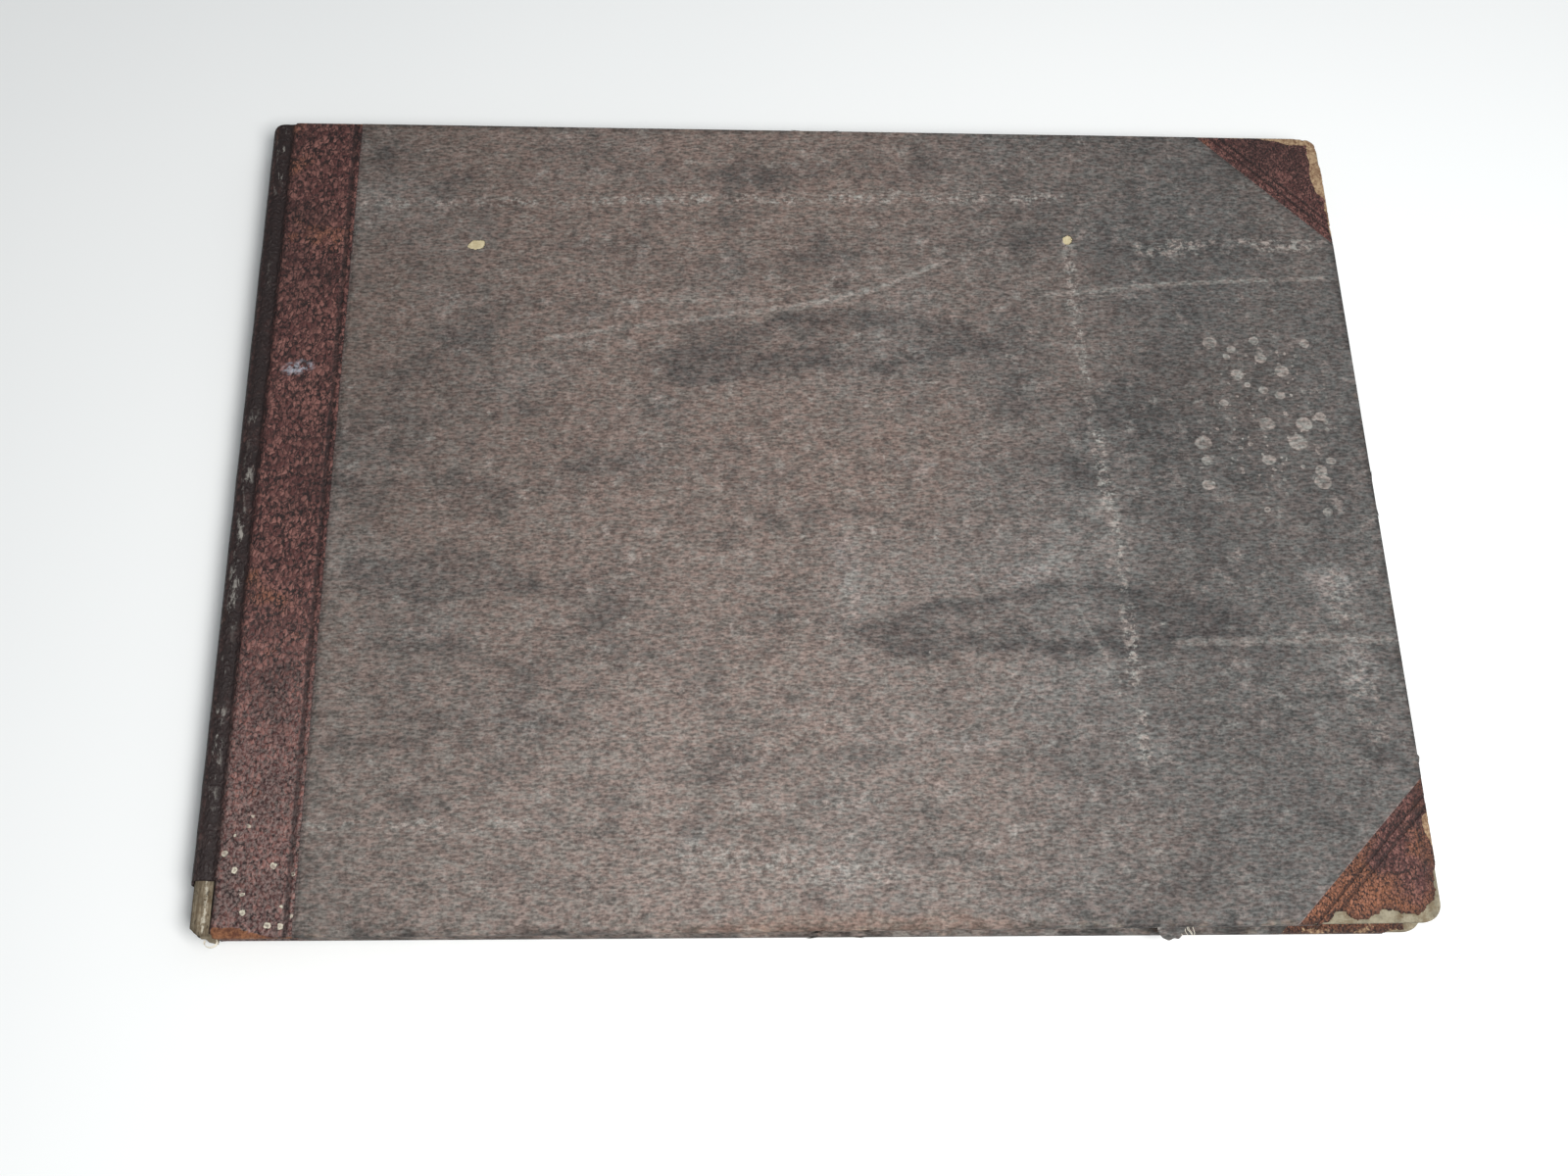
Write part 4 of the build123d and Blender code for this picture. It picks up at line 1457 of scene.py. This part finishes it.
class ALBUM_OT_spine_linings(bpy.types.Operator):
    """Builds the layered card and paper that show where the spine leather is gone"""

    bl_idname = "album.spine_linings"
    bl_label = "Spine linings"

    def execute(self, context):
        card_ply = self.ply(0.75 * MM, 0.9 * MM, 0.35 * MM, 5.0)
        piece = new_piece("layered_spine_card", card_ply, "spine_card")
        thicken(piece, 0.7 * MM)
        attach(piece, "spine_block")
        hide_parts("spine_card")
        paper_ply = self.ply(1.55 * MM, 0.2 * MM, 0.5 * MM, 8.0)
        hollow = new_piece("spine_hollow_paper", paper_ply, "kraft")
        thicken(hollow, 0.3 * MM)
        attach(hollow, "spine_block")
        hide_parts("spine_hollow_lining")
        loose = new_piece("loose_paper_curl", self.curl(), "endpaper")
        thicken(loose, 0.12 * MM)
        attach(loose, "spine_block")
        return {"FINISHED"}

    def ply(self, inset, tail_gap, rough, seed):
        """One lining, bent round the spine like the leather, with a ragged tail end."""
        radius = 2.6 * MM
        left = SPINE_FACE + inset
        high = TOP - 0.35 * MM - inset
        low = 0.35 * MM + inset
        right = HINGE_X - 0.5 * MM
        outline = [(right, low)]
        for k in range(0, 7):
            angle = math.pi / 2 * k / 6
            outline.append((left + radius * (1 - math.sin(angle)), low + radius * (1 - math.cos(angle))))
        for k in range(0, 7):
            angle = math.pi / 2 * k / 6
            outline.append((left + radius * (1 - math.cos(angle)), high - radius * (1 - math.sin(angle))))
        outline += [(HINGE_X - 3.6 * MM, high), (HINGE_X - 2.4 * MM, high), (right, high)]
        bm = bmesh.new()
        tail = tail_gap - HALF_WIDTH
        verts = [bm.verts.new((x, tail, z)) for x, z in outline]
        edges = [bm.edges.new(pair) for pair in zip(verts, verts[1:])]
        run = 2 * (HALF_WIDTH - tail_gap)
        steps = 110
        for _ in range(steps):
            fresh, edges = extruded(bm, edges)
            bmesh.ops.translate(bm, vec=(0, run / steps, 0), verts=fresh)
        for vert in bm.verts:
            lack = max(0.0, left + 3.2 * MM - vert.co.x)
            fall = 0.9 * lack * smooth_rise(abs(vert.co.y), HALF_WIDTH - 8 * MM, HALF_WIDTH)
            vert.co.y -= math.copysign(fall, vert.co.y)
            vert.co.y += rough * grainy(Vector((vert.co.x, vert.co.z)), 900.0, seed)
            vert.co.z += 0.12 * MM * grainy(vert.co, 260.0, seed)
            tucked = smooth_rise(vert.co.x, HINGE_X - 3.7 * MM, HINGE_X - 1.4 * MM)
            tucked *= smooth_rise(vert.co.y, SPINE_TAIL - 2 * MM, SPINE_TAIL + MM)
            if vert.co.z > TOP / 2:
                vert.co.z -= 1.3 * MM * tucked
        bmesh.ops.recalc_face_normals(bm, faces=bm.faces)
        outer = max(bm.faces, key=lambda f: f.calc_center_median().z)
        if outer.normal.z < 0:
            bmesh.ops.reverse_faces(bm, faces=bm.faces)
        return bm

    def curl(self):
        """A thin strip of torn paper that loops out at the foot of the spine."""
        bm = bmesh.new()
        centre = Vector((HINGE_X - 0.6 * MM, -HALF_WIDTH - 0.7 * MM, 9.5 * MM))
        steps = 22
        verts = []
        for k in range(steps + 1):
            angle = math.radians(150 + 245 * k / steps)
            reach = (1.25 + 0.4 * k / steps) * MM
            x = centre.x + 1.35 * reach * math.cos(angle)
            verts.append(bm.verts.new((x, centre.y + reach * math.sin(angle), centre.z)))
        edges = [bm.edges.new(pair) for pair in zip(verts, verts[1:])]
        for _ in range(4):
            fresh, edges = extruded(bm, edges)
            bmesh.ops.translate(bm, vec=(0, 0.05 * MM, 0.35 * MM), verts=fresh)
        bmesh.ops.recalc_face_normals(bm, faces=bm.faces)
        return bm


TORN_CLOTH = 0.3 * MM
# (place along the edge, width, how far it hangs out), in millimetres
TUFT = (104.6, 8.6, 3.4)
NICK = (0.0, 3.4, 0.4)
NICK_PLACE = -92.0
# (x, length, lean towards the fore-edge)
LOOSE_THREADS = (
    (108.4, 2.8, 0.5),
    (109.0, 2.2, 0.9),
    (109.8, 2.6, 0.7),
    (111.6, 3.6, 0.1),
    (107.8, 3.1, 0.0),
)


class ALBUM_OT_torn_cloth(bpy.types.Operator):
    """Adds the torn tuft and loose threads that hang at the tail edge"""

    bl_idname = "album.torn_cloth"
    bl_label = "Torn cloth"

    def execute(self, context):
        piece = new_piece("torn_cloth_tuft", self.tuft(*TUFT), "book_cloth_front")
        paint(piece, "edge_wear", lambda co: 0.1)
        thicken(piece, TORN_CLOTH)
        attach(piece, "front_cover")
        nick = self.tuft(*NICK)
        turn = Matrix.Translation((FORE_EDGE, NICK_PLACE * MM, 0)) @ Matrix.Rotation(math.pi / 2, 4, "Z")
        turn = turn @ Matrix.Translation((0, HALF_WIDTH, 0))
        bmesh.ops.transform(nick, matrix=turn, verts=nick.verts)
        flap = new_piece("lifted_cloth_flap", nick, "book_cloth_front")
        paint(flap, "edge_wear", lambda co: 0.5)
        thicken(flap, TORN_CLOTH)
        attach(flap, "front_cover")
        strands = bmesh.new()
        for x, length, lean in LOOSE_THREADS:
            self.strand(strands, x, length, lean)
        threads = new_piece("loose_cloth_threads", strands, "thread")
        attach(threads, "front_cover")
        return {"FINISHED"}

    def tuft(self, x, width, drop):
        """A small flap folded out over the tail edge."""
        low = (x - width / 2) * MM
        bm = flat_grid(low, low + width * MM, 0.0, drop * MM + 1.6 * MM, 0.0, 0.3 * MM)
        centre = x * MM
        for vert in bm.verts:
            across = (vert.co.x - centre) / (width * MM / 2)
            reach = vert.co.y
            shape = (1.0 - 0.6 * across**4) * (1.0 + 0.3 * grainy(vert.co, 420.0, 2.0))
            out = reach * shape
            droop = 0.5 * max(0.0, out - 1.6 * MM)
            height = TOP - 0.9 * MM - droop + 0.25 * MM * grainy(vert.co, 400.0, 6.0)
            vert.co = Vector((vert.co.x, 1.4 * MM - HALF_WIDTH - out, height))
        bmesh.ops.recalc_face_normals(bm, faces=bm.faces)
        if sum(f.normal.z for f in bm.faces) < 0:
            bmesh.ops.reverse_faces(bm, faces=bm.faces)
        return bm

    def strand(self, bm, x, length, lean):
        """One thread, as a thin bent tube."""
        ring = bmesh.ops.create_circle(bm, segments=5, radius=0.09 * MM)["verts"]
        start = Matrix.Translation((x * MM, MM - HALF_WIDTH, TOP - 1.2 * MM))
        bmesh.ops.transform(bm, matrix=start @ Matrix.Rotation(math.pi / 2, 4, "X"), verts=ring)
        edges = list({e for v in ring for e in v.link_edges})
        steps = 7
        for k in range(steps):
            fresh, edges = extruded(bm, edges)
            step = (length + 1.0) / steps * MM
            sway = math.sin(k * 1.3 + x) * 0.25 * MM
            bmesh.ops.translate(bm, vec=(lean * step * 0.6 + sway, -step, -0.2 * step), verts=fresh)


class ALBUM_OT_linen_guards(bpy.types.Operator):
    """Joins each leaf to its stub with a flexible linen guard"""

    bl_idname = "album.linen_guards"
    bl_label = "Linen guards"

    def execute(self, context):
        for name in LEAF_NAMES:
            hinge = f"{name}_linen_hinge"
            low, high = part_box(hinge)
            start = STUB_END - 6 * MM
            bm = flat_grid(start, high.x, low.y, high.y, high.z, 3 * MM)
            cuts = [e for e in bm.edges if abs(e.verts[0].co.y - e.verts[1].co.y) < 1e-7]
            near = [e for e in cuts if min(v.co.x for v in e.verts) < low.x < max(v.co.x for v in e.verts)]
            bmesh.ops.subdivide_edges(bm, edges=near, cuts=63)
            for vert in bm.verts:
                if vert.co.x > high.x - TINY or vert.co.x < start + TINY:
                    vert.co.x += 0.2 * MM * grainy(vert.co, 300.0, 3.0)
            piece = new_piece(f"{name}_linen_guard", bm, "guard_linen")
            keep_place(piece)
            thicken(piece, 0.08 * MM)
            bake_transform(piece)
            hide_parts(hinge)
        return {"FINISHED"}


class ALBUM_OT_papers(bpy.types.Operator):
    """Finishes the leaves, endpapers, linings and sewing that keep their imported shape"""

    bl_idname = "album.papers"
    bl_label = "Papers and sewing"

    def execute(self, context):
        finishes = {
            "leaf": LEAF_NAMES + ["binding_stubs"],
            "endpaper": ["front_free_endpaper", "back_free_endpaper", "front_pastedown", "back_pastedown"],
            "kraft": ["front_board_infill", "back_board_infill"],
            "linen": ["spine_mull", "spine_tapes", "front_tape_slips", "back_tape_slips"],
            "thread": ["sewing_thread"],
        }
        for finish, names in finishes.items():
            for name in names:
                node = frame["nodes"][name]
                node.data.materials.clear()
                node.data.materials.append(finish_of(finish))
        return {"FINISHED"}


FLOOR_LEVEL = -0.4 * MM
CAMERA_TARGET = (-10.27 * MM, -28.66 * MM, 0.0)
# (name, place, size, watts, tint)
SOFTBOXES = (
    ("key_softbox", (0.24, -0.36, 0.80), 0.42, 9.6, (1.0, 0.99, 0.97)),
    ("fill_softbox", (0.9, 0.6, 1.1), 1.2, 1.8, (0.92, 0.97, 1.0)),
)


class ALBUM_OT_stage(bpy.types.Operator):
    """Sets up the floor, the soft studio light and the camera"""

    bl_idname = "album.stage"
    bl_label = "Stage"

    elevation: bpy.props.FloatProperty(name="Elevation", description="Camera elevation", default=69.006)
    azimuth: bpy.props.FloatProperty(name="Azimuth", description="Camera azimuth", default=9.128)
    roll: bpy.props.FloatProperty(name="Roll", description="Camera roll", default=8.512)
    distance: length_setting("Distance", "Camera distance", 0.5315)
    focal: bpy.props.FloatProperty(name="Focal length", description="Lens, in millimetres", default=36.6)

    def execute(self, context):
        self.floor()
        self.lights()
        self.camera(context)
        return {"FINISHED"}

    def floor(self):
        bm = bmesh.new()
        bmesh.ops.create_grid(bm, x_segments=1, y_segments=1, size=2.0)
        bmesh.ops.translate(bm, vec=(0, 0, FLOOR_LEVEL), verts=bm.verts)
        mesh = bpy.data.meshes.new("studio_floor")
        bm.to_mesh(mesh)
        bm.free()
        floor = bpy.data.objects.new("studio_floor", mesh)
        bpy.context.scene.collection.objects.link(floor)
        material, graph, shader = blank_material("pale_paper_floor")
        at = graph.object_coordinates()
        tone = graph.noise(at, 3.0, 2.0)
        colour = graph.mix(tone, *FLOOR_TONES)
        finish_material(graph, shader, colour, 0.9, graph.bump(tone, 0.02 * MM, 0.1), 0.1)
        mesh.materials.append(material)

    def lights(self):
        world = bpy.data.worlds.new("studio_world")
        bpy.context.scene.world = world
        world.use_nodes = True
        backdrop = world.node_tree.nodes["Background"]
        backdrop.inputs["Color"].default_value = SKY_TINT
        backdrop.inputs["Strength"].default_value = SKY_STRENGTH
        for name, place, size, power, tint in SOFTBOXES:
            data = bpy.data.lights.new(name, "AREA")
            data.shape = "SQUARE"
            data.size = size
            data.energy = power
            data.color = tint
            lamp = bpy.data.objects.new(name, data)
            lamp.location = place
            lamp.rotation_euler = (-Vector(place)).to_track_quat("-Z", "Y").to_euler()
            bpy.context.scene.collection.objects.link(lamp)

    def camera(self, context):
        up_angle = math.radians(self.elevation)
        around = math.radians(self.azimuth)
        tilt = math.radians(self.roll)
        level = Vector((math.sin(around), math.cos(around), 0.0))
        forward = level * math.cos(up_angle) - Vector((0.0, 0.0, math.sin(up_angle)))
        right = Vector((math.cos(around), -math.sin(around), 0.0))
        up = right.cross(forward)
        side = right * math.cos(tilt) + up * math.sin(tilt)
        top = up * math.cos(tilt) - right * math.sin(tilt)
        target = Vector(CAMERA_TARGET)
        place = target - forward * self.distance
        turned = Matrix((side, top, -forward)).transposed().to_4x4()
        data = bpy.data.cameras.new("album_camera")
        data.sensor_width = 36.0
        data.lens = self.focal
        data.clip_start = 0.01
        data.dof.use_dof = False
        camera = bpy.data.objects.new("album_camera", data)
        camera.matrix_world = Matrix.Translation(place) @ turned
        context.scene.collection.objects.link(camera)
        context.scene.camera = camera
        context.scene.view_settings.view_transform = "Standard"


class ALBUM_PT_panel(bpy.types.Panel):
    """Buttons for each part of the album's looks"""

    bl_idname = "ALBUM_PT_panel"
    bl_label = "Scrapbook album"
    bl_space_type = "VIEW_3D"
    bl_region_type = "UI"
    bl_category = "Album"

    def draw(self, context):
        layout = self.layout
        for group in (context.scene.album_sizes, context.scene.album_colours):
            box = layout.box()
            for key in group.__annotations__:
                box.prop(group, key)
        for operator in OPERATORS:
            layout.operator(operator.bl_idname)


OPERATORS = (
    ALBUM_OT_stage,
    ALBUM_OT_boards,
    ALBUM_OT_torn_cloth,
    ALBUM_OT_cloth_sides,
    ALBUM_OT_joint_leather,
    ALBUM_OT_leather_corners,
    ALBUM_OT_spine_linings,
    ALBUM_OT_linen_guards,
    ALBUM_OT_papers,
)
CLASSES = (AlbumSizes, AlbumColours, *OPERATORS, ALBUM_PT_panel)


def register():
    for cls in CLASSES:
        bpy.utils.register_class(cls)
    bpy.types.Scene.album_sizes = bpy.props.PointerProperty(type=AlbumSizes)
    bpy.types.Scene.album_colours = bpy.props.PointerProperty(type=AlbumColours)


def unregister():
    del bpy.types.Scene.album_colours
    del bpy.types.Scene.album_sizes
    for cls in reversed(CLASSES):
        bpy.utils.unregister_class(cls)


def main():
    register()
    for operator in OPERATORS:
        group, name = operator.bl_idname.split(".")
        getattr(getattr(bpy.ops, group), name)()


if __name__ == "__main__":
    main()
